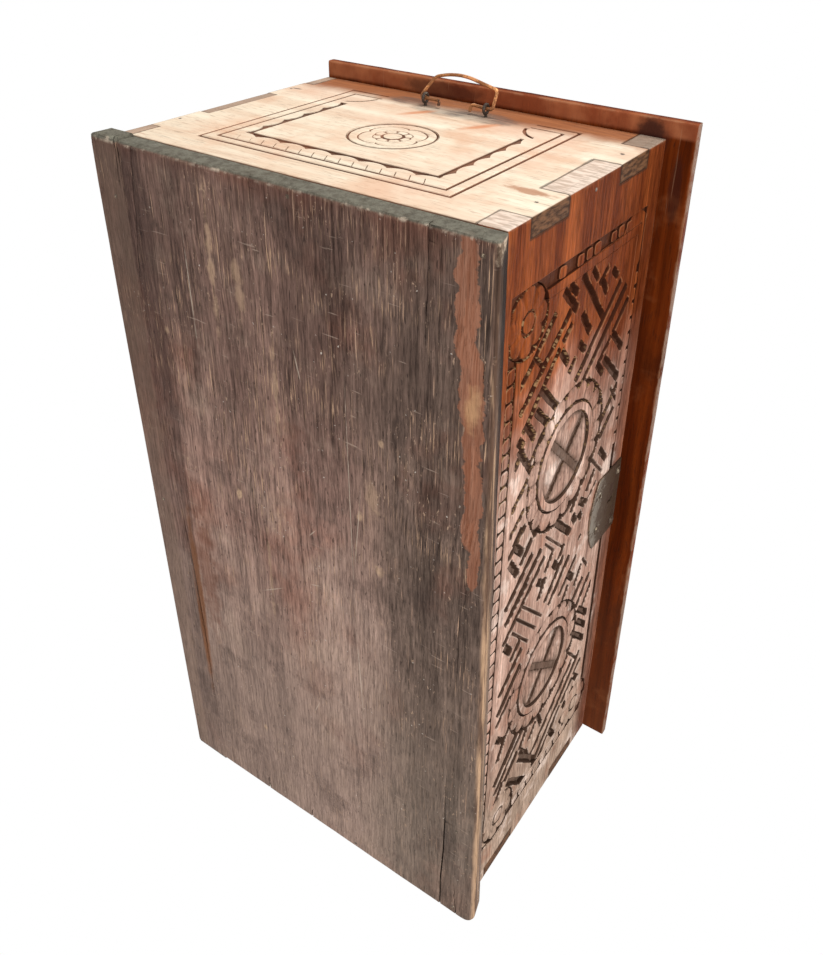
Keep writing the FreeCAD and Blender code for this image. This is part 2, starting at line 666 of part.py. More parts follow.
# ---------------------------------------------------------------------------------------------
# Wirework: split pins and bails
# ---------------------------------------------------------------------------------------------
RING_TURNS = range(0, 360, 30)
SECTION_TURNS = range(0, 360, 60)


def pin_ring(name):
    """The eye of a split pin: hand-bent wire, so a ring of short flats, bevelled to the wire's section."""
    body = new_body(name)
    sketch = new_sketch(body, "XY_Plane", lift="-pin_wire / 2")
    regular(sketch, "pin_ring_radius + pin_wire / 2", RING_TURNS)
    regular(sketch, "pin_ring_radius - pin_wire / 2", RING_TURNS)
    pad(body, sketch, "pin_wire")
    dress(body, "Chamfer", "pin_wire * (1 - sqrt(2) / 2)", lambda edge: not is_upright(edge))
    return body


def split_pin(name, run, lean, where, axis, turn, linked=False):
    """A split pin and the tool that bores its hole, both about the swing axis, which is its own X.

    The legs run along -Y for the length run, to the far face of the board. The tails are clenched
    along X on that face, which leans about X from square to the legs. The ring stands round the
    swing axis, or where it is linked, lies flat and passes through another pin's ring on that axis.
    """
    ring_reach = "pin_ring_radius" if linked else "0"
    ring = pin_ring(f"{name}_ring")
    place(ring, y=f"-{ring_reach}", axis=Vector(0, 1, 0), turn="0" if linked else "90")
    legs = doc.addObject("Part::Prism", f"{name}_legs")
    legs.Polygon = len(SECTION_TURNS)
    root = f"({ring_reach} + pin_ring_radius)"
    bind(legs, Circumradius="pin_shank / 2", Height=f"{run} + pin_tail_thickness / 2 - {root}")
    place(legs, y=f"-{root}", axis=Vector(1, 0, 0), turn="90")
    tails = doc.addObject("Part::Box", f"{name}_tails")
    bind(tails, Length="2 * pin_tail", Width="pin_tail_thickness", Height="pin_shank")
    cosine, sine = f"cos({lean} * 1 deg)", f"sin({lean} * 1 deg)"
    place(tails, x="-pin_tail",
          y=f"-({run}) - pin_tail_thickness * {cosine} + pin_shank / 2 * {sine}",
          z=f"-pin_tail_thickness * {sine} - pin_shank / 2 * {cosine}",
          axis=Vector(1, 0, 0), turn=lean)
    pin = doc.addObject("Part::MultiFuse", name)
    pin.Label = name
    pin.Shapes = [ring, legs, tails]
    drill = doc.addObject("Part::Cylinder", f"{name}_drill")
    bind(drill, Radius="pin_shank / 2 + pin_clearance", Height=f"{run} + 2 * pin_shank")
    place(drill, axis=Vector(1, 0, 0), turn="90")
    hole = compound(f"{name}_hole", [drill])
    for piece in (pin, hole):
        place(piece, *where, axis=axis, turn=turn)
    return pin, hole


def bent_path(sketch, corners, radii):
    """An open path of straight runs through the corners, each corner rounded to its radius."""
    points = [Vector(measure(x), measure(y), 0) for x, y in corners]
    starts, ends, arcs = [points[0]], [], []
    for before, corner, after, radius in zip(points, points[1:], points[2:], radii):
        towards, away = (before - corner).normalize(), (after - corner).normalize()
        half_turn = math.acos(towards.dot(away)) / 2
        bisector = (towards + away).normalize()
        centre = corner + bisector * (measure(radius) / math.sin(half_turn))
        reach = measure(radius) / math.tan(half_turn)
        ends.append(corner + towards * reach)
        starts.append(corner + away * reach)
        arcs.append(Part.Arc(ends[-1], centre - bisector * measure(radius), starts[-1]))
    ends.append(points[-1])
    lines = [sketch.addGeometry(Part.LineSegment(start, end), False) for start, end in zip(starts, ends)]
    hold_point(sketch, lines[0], 1, *corners[0])
    hold_point(sketch, lines[-1], 2, *corners[-1])
    for index, arc in enumerate(arcs):
        bend = sketch.addGeometry(arc, False)
        near = 1 if sketch.getPoint(bend, 1).distanceToPoint(ends[index]) < 1e-3 else 2
        sketch.addConstraint(Sketcher.Constraint("Tangent", lines[index], 2, bend, near))
        sketch.addConstraint(Sketcher.Constraint("Tangent", lines[index + 1], 1, bend, 3 - near))
        hold(sketch, "Radius", radii[index], bend)
        mark = sketch.addGeometry(Part.Point(points[index + 1]), True)
        hold_point(sketch, mark, 1, *corners[index + 1])
        sketch.addConstraint(Sketcher.Constraint("PointOnObject", mark, 1, lines[index]))
        sketch.addConstraint(Sketcher.Constraint("PointOnObject", mark, 1, lines[index + 1]))


def bail(name, where, turn):
    """A hand-bent wire bail. Its own X points from the swing axis to the crown, its Y along the axis.
    Each foot turns inwards through its split pin and ends in a short tip bent back."""
    body = new_body(name)
    path = new_sketch(body, "XY_Plane")
    hook = "(bail_pin_spacing / 2 - bail_hook_reach)"
    back_foot = "(bail_pin_spacing / 2 + bail_foot_back_reach)"
    front_foot = "(bail_pin_spacing / 2 + bail_foot_front_reach)"
    corners = [
        ("-bail_tip", hook),
        ("0", hook),
        ("0", back_foot),
        ("bail_shoulder_back_rise", "bail_shoulder_back"),
        ("bail_rise", "bail_crown_offset"),
        ("bail_shoulder_front_rise", f"-{front_foot}"),
        ("0", f"-{front_foot}"),
        ("bail_hook_lift", f"-{hook}"),
        ("-bail_tip", f"-{hook}"),
    ]
    radii = ["bail_bend_radius", "bail_bend_radius", "bail_shoulder_radius", "bail_crown_radius",
             "bail_front_shoulder_radius", "bail_bend_radius", "bail_bend_radius"]
    bent_path(path, corners, radii)
    section = new_sketch(body, "YZ_Plane", lift="-bail_tip")
    regular(section, "bail_wire / 2", SECTION_TURNS, hook)
    doc.recompute()
    pipe = body.newObject("PartDesign::AdditivePipe", f"{name}_pipe")
    pipe.Profile = section
    pipe.Spine = (path, [])
    doc.recompute()
    return place(body, *where, axis=Vector(0, 1, 0), turn=turn)


# ---------------------------------------------------------------------------------------------
# Till lock
# ---------------------------------------------------------------------------------------------
def lock_plate():
    """Iron plate with a bowed lower edge, a keyhole, and a square hole where a nail is lost."""
    body = new_body("lock_plate_blank")
    sketch = new_sketch(body, "XZ_Plane")
    half = "(plate_width / 2)"
    foot = f"({PLATE_TOP_Z} - plate_side_height)"
    corners = [(f"lock_offset - {half}", foot), (f"lock_offset - {half}", PLATE_TOP_Z),
               (f"lock_offset + {half}", PLATE_TOP_Z), (f"lock_offset + {half}", foot)]
    points = [Vector(measure(x), measure(z), 0) for x, z in corners]
    for index in range(3):
        sketch.addGeometry(Part.LineSegment(points[index], points[index + 1]), False)
        hold_point(sketch, index, 1, *corners[index])
    hold_point(sketch, 2, 2, *corners[3])
    for index in range(2):
        sketch.addConstraint(Sketcher.Constraint("Coincident", index, 2, index + 1, 1))
    lowest = (points[0] + points[3]) * 0.5 - Vector(0, measure("plate_bow"), 0)
    close_with_arc(sketch, (points[3], lowest, points[0]), (2, 2), (0, 1),
                   "(plate_width^2 / 4 + plate_bow^2) / (2 * plate_bow)")
    keyhole(sketch, "lock_offset", KEYHOLE_Z, "0")
    lost = f"({PLATE_TOP_Z} - plate_low_drop)"
    rectangle(sketch, "lock_offset - plate_low_spread - plate_hole_size / 2",
              "lock_offset - plate_low_spread + plate_hole_size / 2",
              f"{lost} - plate_hole_size / 2", f"{lost} + plate_hole_size / 2")
    pad(body, sketch, "plate_thickness")
    return place(body, y=f"-{HALF_DEPTH}")


def lock_case():
    """Sheet-iron case nailed inside the front board: open towards the wood, slotted at the top for
    the staple, with two guides for the bolt. Its own y = 0 lies on the inside of the front board."""
    body = new_body("lock_case_blank")
    half = "(case_width / 2)"
    foot = f"({CASE_TOP_Z} - case_height)"
    shell = new_sketch(body, "XZ_Plane", lift="-case_depth")
    rectangle(shell, f"lock_offset - {half}", f"lock_offset + {half}", foot, CASE_TOP_Z)
    pad(body, shell, "case_depth")
    hollow = new_sketch(body, "XZ_Plane")
    rectangle(hollow, f"lock_offset - {half} + case_wall", f"lock_offset + {half} - case_wall",
              f"{foot} + case_wall", f"{CASE_TOP_Z} - case_wall")
    pocket(body, hollow, "case_depth - case_wall")
    slot = new_sketch(body, "XZ_Plane")
    reach = "(staple_bar / 2 + staple_slot_margin)"
    rectangle(slot, f"lock_offset + staple_offset - {reach}", f"lock_offset + staple_offset + {reach}",
              f"{CASE_TOP_Z} - 2 * case_wall", f"{CASE_TOP_Z} + case_wall")
    pocket(body, slot, "case_depth - case_wall")
    ears = new_sketch(body, "XZ_Plane", lift="-case_wall")
    rectangle(ears, f"lock_offset - {half} - case_flange", f"lock_offset - {half} + case_wall",
              foot, CASE_TOP_Z)
    rectangle(ears, f"lock_offset + {half} - case_wall", f"lock_offset + {half} + case_flange",
              foot, CASE_TOP_Z)
    pad(body, ears, "case_wall")
    guides = new_sketch(body, "XZ_Plane", lift="-case_depth")
    low = f"({BOLT_TOP_Z} - bolt_height)"
    for start in ("lock_offset - left_guide", "lock_offset + right_guide"):
        rectangle(guides, start, f"{start} + guide_thickness",
                  f"{low} - guide_thickness", f"{CASE_TOP_Z} - case_wall")
    pad(body, guides, "case_depth - bolt_clearance")
    tunnel = new_sketch(body, "YZ_Plane", lift="lock_offset - left_guide - guide_thickness")
    half_bolt = "(bolt_thickness / 2 + bolt_clearance)"
    middle_y = "((case_depth - case_wall) / 2)"
    rectangle(tunnel, f"{middle_y} - {half_bolt}", f"{middle_y} + {half_bolt}",
              f"{low} - bolt_clearance", f"{BOLT_TOP_Z} + bolt_clearance")
    pocket(body, tunnel, "left_guide + right_guide + 3 * guide_thickness", reverse=True)
    return place(body, y=FRONT_INSIDE_Y)


def lock_bolt():
    """Sliding bar with a notched block below it, which the key's bit pushes along."""
    body = new_body("lock_bolt")
    sketch = new_sketch(body, "XZ_Plane", lift="-bolt_thickness / 2")
    low = f"({BOLT_TOP_Z} - bolt_height)"
    nose = "(lock_offset + bolt_nose)"
    notch_left = "(lock_offset - talon_width / 2 - talon_notch / 2)"
    block_left = "(lock_offset - talon_width)"
    outline(sketch, [
        (f"{nose} - bolt_length", BOLT_TOP_Z), (f"{nose} - bolt_length", low), (block_left, low),
        (block_left, f"{low} - talon_height"), (notch_left, f"{low} - talon_height"), (notch_left, low),
        (f"{notch_left} + talon_notch", low), (f"{notch_left} + talon_notch", f"{low} - talon_height"),
        ("lock_offset", f"{low} - talon_height"), ("lock_offset", low), (nose, low), (nose, BOLT_TOP_Z),
    ])
    pad(body, sketch, "bolt_thickness")
    return place(body, y=BOLT_MIDDLE_Y)


def lid_staple():
    """Square-bar staple through the lid: its eye hangs in the lock case, its legs are clenched on top."""
    body = new_body("lid_staple")
    sketch = new_sketch(body, "YZ_Plane", lift="-staple_bar / 2")
    inner = "(bolt_thickness / 2 + staple_gap)"
    outer = f"({inner} + staple_bar)"
    sill = f"({BOLT_TOP_Z} - bolt_height - staple_gap)"
    outline(sketch, [
        (f"-{outer}", f"{sill} - staple_bar"), (outer, f"{sill} - staple_bar"),
        (outer, LID_TOP), (inner, LID_TOP), (inner, sill),
        (f"-{inner}", sill), (f"-{inner}", LID_TOP), (f"-{outer}", LID_TOP),
    ])
    pad(body, sketch, "staple_bar")
    tails = new_sketch(body, "XY_Plane", lift=LID_TOP)
    for side in ("-1", "1"):
        near, far = (inner, outer) if side == "1" else (f"-{outer}", f"-{inner}")
        rectangle(tails, "-staple_tail", "staple_tail", near, far)
    pad(body, tails, "staple_bar / 2")
    return place(body, x="lock_offset + staple_offset", y=BOLT_MIDDLE_Y)


# ---------------------------------------------------------------------------------------------
# Nails
# ---------------------------------------------------------------------------------------------
def sprig(name, thickness, length, start, along):
    """A square headless nail from its start along an axis, such as +x or -y."""
    direction, letter = along
    sizes, corner = [], []
    for axis, place_on_axis in zip("xyz", start):
        if axis == letter:
            sizes.append(length)
            corner.append(place_on_axis if direction == "+" else f"{place_on_axis} - ({length})")
        else:
            sizes.append(thickness)
            corner.append(f"{place_on_axis} - ({thickness}) / 2")
    bar = doc.addObject("Part::Box", name)
    bind(bar, Length=sizes[0], Width=sizes[1], Height=sizes[2])
    return place(bar, *corner)


def rose_nail(name, x, z, face, through, outwards):
    """A nail along Y with a hammered head on a face; outwards is the side that the head is on."""
    length = f"({through} + rose_nail_length)"
    shank = sprig(f"{name}_shank", "rose_nail", length, (x, face, z), "+y" if outwards == "-y" else "-y")
    head = doc.addObject("Part::Wedge", f"{name}_head")
    for edge, value in (("Xmin", "-rose_head / 2"), ("Xmax", "rose_head / 2"), ("Ymin", "0"),
                        ("Ymax", "rose_head_rise"), ("Zmin", "-rose_head / 2"), ("Zmax", "rose_head / 2"),
                        ("X2min", "-rose_crown / 2"), ("X2max", "rose_crown / 2"),
                        ("Z2min", "-rose_crown / 2"), ("Z2max", "rose_crown / 2")):
        bind(head, **{edge: value})
    place(head, x, face, z, axis=Vector(0, 0, 1), turn="180" if outwards == "-y" else "0")
    nail = doc.addObject("Part::MultiFuse", name)
    nail.Shapes = [shank, head]
    return nail


def corner_nails():
    """Each finger of an end board is nailed to the long board, and each middle finger to the end."""
    nails = []
    for side, x, inwards in (("left", f"-{HALF_LENGTH}", "+x"), ("right", HALF_LENGTH, "-x")):
        for wall, y in (("front", f"(-{HALF_DEPTH} + front_thickness / 2)"),
                        ("back", f"({HALF_DEPTH} - back_thickness / 2)")):
            for finger in (1, 3):
                z = f"({LEVELS[finger]} + {LEVELS[finger + 1]}) / 2"
                nails.append(sprig(f"{side}_{wall}_nail_{finger}", "corner_nail", "corner_nail_length",
                                   (x, y, z), inwards))
        inner_x = f"({x} + end_thickness / 2)" if side == "left" else f"({x} - end_thickness / 2)"
        z = f"({LEVELS[2]} + {LEVELS[3]}) / 2"
        for wall, y, into in (("front", f"-{HALF_DEPTH}", "+y"), ("back", HALF_DEPTH, "-y")):
            nails.append(sprig(f"{side}_{wall}_nail_2", "corner_nail", "corner_nail_length",
                               (inner_x, y, z), into))
    return compound("corner_nails", nails)


def base_nails():
    """Nails up through the base into the front board and the two end boards."""
    front_row = f"(-{HALF_DEPTH} + base_nail_front_inset)"
    places = [
        (f"-{HALF_LENGTH} + base_nail_end_inset", front_row),
        (f"-{HALF_LENGTH} + base_nail_second", front_row),
        (f"-{HALF_LENGTH} + base_nail_third", front_row),
        (f"{HALF_LENGTH} - base_nail_end_inset", front_row),
        (f"-{HALF_LENGTH} + end_thickness / 2", f"-{HALF_DEPTH} + left_end_nail"),
        (f"{HALF_LENGTH} - end_thickness / 2", f"-{HALF_DEPTH} + right_end_nail_one"),
        (f"{HALF_LENGTH} - end_thickness / 2", f"-{HALF_DEPTH} + right_end_nail_two"),
    ]
    nails = [sprig(f"base_nail_{number}", "base_nail", "base_nail_length", (f"({x})", f"({y})", "0"), "+z")
             for number, (x, y) in enumerate(places, start=1)]
    return compound("base_nails", nails)


def strip_nails():
    """Nails up through the back strip into the back board."""
    row = f"({HALF_DEPTH} - back_thickness / 2)"
    places = [f"(-{HALF_LENGTH} + strip_nail_inset)", "0", f"({HALF_LENGTH} - strip_nail_inset)"]
    nails = [sprig(f"strip_nail_{number}", "base_nail", "base_nail_length", (x, row, "0"), "+z")
             for number, x in enumerate(places, start=1)]
    return compound("strip_nails", nails)


def lock_plate_nails():
    """Two nails at the top of the plate and the one that is left at the bottom."""
    face = f"(-{HALF_DEPTH} - plate_thickness)"
    high = f"({PLATE_TOP_Z} - plate_nail_drop)"
    low = f"({PLATE_TOP_Z} - plate_low_drop)"
    places = [("(lock_offset - plate_nail_spread)", high), ("(lock_offset + plate_nail_spread)", high),
              ("(lock_offset + plate_low_spread)", low)]
    nails = [rose_nail(f"plate_nail_{number}", x, z, face, "plate_thickness", "-y")
             for number, (x, z) in enumerate(places, start=1)]
    return compound("lock_plate_nails", nails)


def lock_case_nails():
    """Two nails through each ear of the lock case, from inside the chest."""
    face = f"({FRONT_INSIDE_Y} + case_wall)"
    reach = "(case_width / 2 + case_flange / 2)"
    nails = []
    levels = (f"({CASE_TOP_Z} - case_nail_inset)", f"({CASE_TOP_Z} - case_height + case_nail_inset)")
    for side in ("-", "+"):
        for level in levels:
            name = f"case_nail_{len(nails) + 1}"
            nails.append(rose_nail(name, f"(lock_offset {side} {reach})", level, face, "case_wall", "+y"))
    return compound("lock_case_nails", nails)


# ---------------------------------------------------------------------------------------------
# The chest
# ---------------------------------------------------------------------------------------------
corner_group = corner_nails()
base_group = base_nails()
strip_group = strip_nails()
plate_group = lock_plate_nails()
case_group = lock_case_nails()

BAIL_RUN = "(bail_standoff + end_thickness)"
BAIL_SIDES = [("left", f"(-{HALF_LENGTH} - bail_standoff)", "90", "180 + left_bail_lift"),
              ("right", f"({HALF_LENGTH} + bail_standoff)", "-90", "right_bail_drop")]
bails, bail_pins, end_holes = [], [], {}
for side, x, pin_turn, bail_turn in BAIL_SIDES:
    bails.append(bail(f"{side}_bail", (x, "bail_offset", BAIL_Z), bail_turn))
    end_holes[side] = []
    for end, offset in (("front", "- bail_pin_spacing / 2"), ("back", "+ bail_pin_spacing / 2")):
        where = (x, f"(bail_offset {offset})", BAIL_Z)
        pin, hole = split_pin(f"{side}_bail_{end}_pin", BAIL_RUN, "0", where, Vector(0, 0, 1), pin_turn)
        bail_pins.append(pin)
        end_holes[side].append(hole)

CASE_PIN_RUN = "((hinge_standoff + back_thickness) / cos(case_pin_slope * 1 deg))"
LID_PIN_RUN = "((lid_thickness + hinge_drop) / sin(lid_pin_slope * 1 deg))"
hinge_pins, back_holes, lid_holes = [], [], []
for side, x in (("left", f"(-{HALF_LENGTH} + hinge_inset)"), ("right", f"({HALF_LENGTH} - hinge_inset)")):
    pivot = (x, LID_PIVOT_Y, LID_PIVOT_Z)
    case_pin, back_hole = split_pin(f"{side}_hinge_case_pin", CASE_PIN_RUN, "-case_pin_slope", pivot,
                                    Vector(1, 0, 0), "case_pin_slope")
    lid_pin, lid_hole = split_pin(f"{side}_hinge_lid_pin", LID_PIN_RUN, "(lid_pin_slope - 90)", pivot,
                                  Vector(1, 0, 0), "-lid_pin_slope", linked=True)
    hinge_pins += [case_pin, lid_pin]
    back_holes.append(back_hole)
    lid_holes.append(lid_hole)

bolt = lock_bolt()
staple = lid_staple()
nodes = [
    cut_by("base_board", base_blank(), [base_group]),
    cut_by("base_back_strip", strip_blank(), [strip_group]),
    cut_by("front_panel", front_board(), [corner_group, base_group, plate_group, case_group]),
    cut_by("back_panel", back_board(), [corner_group, strip_group] + back_holes),
    cut_by("left_end_panel", end_board("left_end_blank", True),
           [corner_group, base_group] + end_holes["left"]),
    cut_by("right_end_panel", end_board("right_end_blank", False),
           [corner_group, base_group] + end_holes["right"]),
    cut_by("lid_board", lid_blank(), [staple] + lid_holes),
    cut_by("lock_plate", lock_plate(), [plate_group]),
    cut_by("lock_case", lock_case(), [case_group]),
    bolt, staple, corner_group, base_group, strip_group, plate_group, case_group,
] + bails + bail_pins + hinge_pins
doc.recompute()

for thing in doc.Objects:
    if "Invalid" in thing.State or "Error" in thing.State:
        raise RuntimeError(f"{thing.Label} did not build: {thing.State}")
for node in nodes:
    if node.Shape.isNull() or not node.Shape.isValid() or not node.Shape.Solids:
        raise RuntimeError(f"{node.Label} is not a sound solid")

os.makedirs("parts", exist_ok=True)
for node in nodes:
    node.Shape.exportStep(f"parts/{node.Label}.step")
    size = node.Shape.BoundBox
    print(f"{node.Label}: {len(node.Shape.Solids)} solid(s), "
          f"{size.XLength:.1f} x {size.YLength:.1f} x {size.ZLength:.1f} mm")
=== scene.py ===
# %% [markdown]
# # A carved coffer with wire handles
#
# The chest is six thin boards of teak, held by finger joints and nails. Its front is carved all over with
# a slanting key fret, two petalled wheels and four small roses, and its ends with a scalloped frame and
# one rose. A bent wire serves as the handle at each end, and an iron plate covers the lock.
#
# The solid model already has every board, nail and hook at its right size and place. So the work here is
# what solids leave out: carving cut with a gouge, corners rounded by use, cracks, and finishes that belong
# to old wood, rust and handled wire. The model is loaded first and never moved.

# %% Load the solid model
import json
import math
import random

import bmesh
import bpy
import numpy as np
from mathutils import Matrix, Vector


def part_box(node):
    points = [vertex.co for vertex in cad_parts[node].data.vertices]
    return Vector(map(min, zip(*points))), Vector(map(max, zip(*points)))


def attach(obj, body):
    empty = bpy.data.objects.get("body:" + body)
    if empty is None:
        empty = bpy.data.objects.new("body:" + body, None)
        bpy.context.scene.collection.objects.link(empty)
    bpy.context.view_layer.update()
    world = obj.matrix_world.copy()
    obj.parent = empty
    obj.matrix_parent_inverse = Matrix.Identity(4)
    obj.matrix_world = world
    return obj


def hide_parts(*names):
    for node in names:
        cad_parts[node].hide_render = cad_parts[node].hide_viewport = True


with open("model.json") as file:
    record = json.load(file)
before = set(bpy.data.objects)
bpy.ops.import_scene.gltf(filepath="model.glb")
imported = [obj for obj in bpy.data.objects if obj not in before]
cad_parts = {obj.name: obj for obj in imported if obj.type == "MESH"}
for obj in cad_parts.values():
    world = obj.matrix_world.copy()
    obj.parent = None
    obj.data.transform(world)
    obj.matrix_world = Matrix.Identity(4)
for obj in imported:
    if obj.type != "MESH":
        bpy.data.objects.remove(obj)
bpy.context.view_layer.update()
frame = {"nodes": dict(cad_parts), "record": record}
NODES = frame["nodes"]
MM = 0.001
print("solid nodes:", len(NODES))

# %% [markdown]
# ## Working by hand, in code
#
# Blender's operators act on whatever is selected, and a loaded model arrives selected. A few short helpers
# keep that under control. One makes a piece the only selected thing, one opens it for editing, and one
# picks faces or edges by where they are or which way they look, as a person does with the mouse.

# %% Helpers for selecting and editing
def nothing_selected():
    """Leave edit mode and deselect everything, so that a new primitive comes alone."""
    if bpy.context.object and bpy.context.object.mode != "OBJECT":
        bpy.ops.object.mode_set(mode="OBJECT")
    bpy.ops.object.select_all(action="DESELECT")


def take(piece):
    """Make the piece the only selected object, and the active one."""
    nothing_selected()
    piece.select_set(True)
    bpy.context.view_layer.objects.active = piece
    return piece


def open_mesh(piece, mode="FACE", whole=False):
    """Enter edit mode on the piece with nothing or the whole selected, and return its editable mesh."""
    take(piece)
    bpy.ops.object.mode_set(mode="EDIT")
    bpy.ops.mesh.select_mode(type=mode)
    bpy.ops.mesh.select_all(action="SELECT" if whole else "DESELECT")
    return bmesh.from_edit_mesh(piece.data)


def close_mesh():
    """Leave edit mode."""
    bpy.ops.object.mode_set(mode="OBJECT")


def pick_edges(piece, wanted):
    """Select the edges for which wanted(one end, other end, angle) is true, with ends in millimetres."""
    mesh = open_mesh(piece, "EDGE")
    found = 0
    for edge in mesh.edges:
        angle = edge.calc_face_angle(0.0)
        if wanted(edge.verts[0].co / MM, edge.verts[1].co / MM, math.degrees(angle)):
            edge.select_set(True)
            found += 1
    bmesh.update_edit_mesh(piece.data)
    return found

# %% Helpers that change a whole piece
def apply_modifier(piece, kind, **settings):
    """Put one modifier on the piece and apply it."""
    take(piece)
    modifier = piece.modifiers.new(kind.lower(), kind)
    for name, value in settings.items():
        setattr(modifier, name, value)
    bpy.ops.object.modifier_apply(modifier=modifier.name)
    return piece


def settle(piece):
    """Put the piece's place, turn and size into its mesh, so that the object sits at the origin."""
    take(piece)
    bpy.ops.object.transform_apply(location=True, rotation=True, scale=True)
    return piece


def join(pieces, name):
    """Join several objects into one named piece."""
    take(pieces[0])
    for other in pieces[1:]:
        other.select_set(True)
    if len(pieces) > 1:
        bpy.ops.object.join()
    piece = bpy.context.object
    piece.name = piece.data.name = name
    return piece


def copy_of_node(node, name):
    """A copy of a solid's mesh to work on: its loose triangles are merged, and flat ones made one face."""
    source = NODES[node]
    piece = bpy.data.objects.new(name, source.data.copy())
    piece.data.name = name
    piece.data.materials.clear()
    bpy.context.scene.collection.objects.link(piece)
    open_mesh(piece, whole=True)
    bpy.ops.mesh.remove_doubles(threshold=1e-6)
    bpy.ops.mesh.dissolve_limited(angle_limit=math.radians(0.5))
    close_mesh()
    return piece


def smooth(piece, degrees):
    """Shade the piece smooth across every edge that bends less than this."""
    take(piece)
    bpy.ops.object.shade_smooth_by_angle(angle=math.radians(degrees))
    return piece

# %% Points as arrays, and the unevenness of a hand
def read_points(piece):
    """The piece's points as an array, in millimetres."""
    points = np.empty(len(piece.data.vertices) * 3)
    piece.data.vertices.foreach_get("co", points)
    return points.reshape(-1, 3) / MM


def write_points(piece, points):
    """Put an array of points, in millimetres, back into the piece."""
    piece.data.vertices.foreach_set("co", (points * MM).ravel())
    piece.data.update()


def ripple(along, seed, period):
    """A hand's unevenness along a line: three mixed waves, between about -1 and 1."""
    draw = np.random.default_rng(seed)
    total = np.zeros_like(along)
    for share, size in ((0.5, 1.0), (0.3, 0.43), (0.2, 0.19)):
        total += share * np.sin(2 * math.pi * along / (period * size) + draw.uniform(0, 6.28))
    return total

# %% [markdown]
# ## Camera
#
# The chest is seen standing on its right-hand end, from below its underside, so that the base, the carved
# front and the left end all show. Rather than stand the chest up, the camera is turned round it: the
# chest's left end points up in the picture. The camera's three directions are written as the columns of a
# matrix, because no pair of angles gives such a roll plainly.

# %% Camera
CAMERA_PLACE = Vector((-0.47677, -0.37257, -0.38300))
PICTURE_RIGHT = Vector((-0.02201, -0.83056, 0.55649))
PICTURE_UP = Vector((-0.86948, 0.29065, 0.39940))
VIEW_AHEAD = Vector((0.49347, 0.47507, 0.72855))

camera_data = bpy.data.cameras.new("camera")
camera_data.lens = 34.851
camera_data.sensor_width = 36.0
camera_data.shift_x = -0.0318
camera_data.shift_y = -0.1181
camera_data.clip_start = 0.01
camera = bpy.data.objects.new("camera", camera_data)
bpy.context.scene.collection.objects.link(camera)
turn = Matrix((PICTURE_RIGHT, PICTURE_UP, -VIEW_AHEAD)).transposed()
camera.matrix_world = Matrix.Translation(CAMERA_PLACE) @ turn.to_4x4()
bpy.context.scene.camera = camera
print("camera lens", camera_data.lens)

# %% [markdown]
# ## Light and ground
#
# The light is that of a bright white room. The world gives an even fill, in which a colour comes out about
# as it is written, and one large soft lamp beyond the left end makes that end the brightest face. To the
# camera, in reflections and through anything clear, the world is plain white.
#
# The chest rests on a pale floor at its underside. The camera looks from under that floor, so the floor is
# one-sided: its back, and every ray that isn't the camera's own, passes through it.

# %% World
WHITE = (1.0, 1.0, 1.0, 1.0)
FILL_STRENGTH = 0.45

world = bpy.data.worlds.new("white_room")
bpy.context.scene.world = world
world.use_nodes = True
sky = world.node_tree
sky.nodes.clear()
seen = sky.nodes.new("ShaderNodeLightPath")
shown_white = sky.nodes.new("ShaderNodeMath")
shown_white.operation = "MAXIMUM"
sky.links.new(seen.outputs["Is Camera Ray"], shown_white.inputs[0])
sky.links.new(seen.outputs["Is Glossy Ray"], shown_white.inputs[1])
shown_through = sky.nodes.new("ShaderNodeMath")
shown_through.operation = "MAXIMUM"
sky.links.new(shown_white.outputs[0], shown_through.inputs[0])
sky.links.new(seen.outputs["Is Transmission Ray"], shown_through.inputs[1])
strength = sky.nodes.new("ShaderNodeMapRange")
strength.inputs["To Min"].default_value = FILL_STRENGTH
strength.inputs["To Max"].default_value = 1.0
sky.links.new(shown_through.outputs[0], strength.inputs["Value"])
background = sky.nodes.new("ShaderNodeBackground")
background.inputs["Color"].default_value = WHITE
sky.links.new(strength.outputs["Result"], background.inputs["Strength"])
world_output = sky.nodes.new("ShaderNodeOutputWorld")
sky.links.new(background.outputs[0], world_output.inputs["Surface"])
print("fill strength", FILL_STRENGTH)

# %% Lamps
def soft_lamp(name, place, aim, size, watts, colour=(1.0, 1.0, 1.0)):
    """A square area lamp of a given size at a place, pointed at another place, in metres."""
    data = bpy.data.lights.new(name, "AREA")
    data.shape = "SQUARE"
    data.size = size
    data.energy = watts
    data.color = colour
    lamp = bpy.data.objects.new(name, data)
    bpy.context.scene.collection.objects.link(lamp)
    direction = Vector(aim) - Vector(place)
    lamp.rotation_euler = direction.to_track_quat("-Z", "Y").to_euler()
    lamp.location = place
    return lamp


MIDDLE = (0.0, 0.0, 0.12)
soft_lamp("lamp_left_end", (-1.9, -0.35, 0.55), MIDDLE, 1.2, 30.0, (1.0, 0.985, 0.96))
soft_lamp("lamp_front_below", (-0.5, -1.7, -1.0), MIDDLE, 1.2, 35.0)
soft_lamp("lamp_above", (0.3, -0.4, 2.1), MIDDLE, 1.6, 20.0)
bpy.context.scene.view_settings.view_transform = "Standard"
print("lamps:", len(bpy.data.lights))

# %% Floor
FLOOR_GREY = (0.55, 0.55, 0.55, 1.0)
FLOOR_GLOW = 0.45       # light that the floor gives of its own, so that it looks as bright as the room

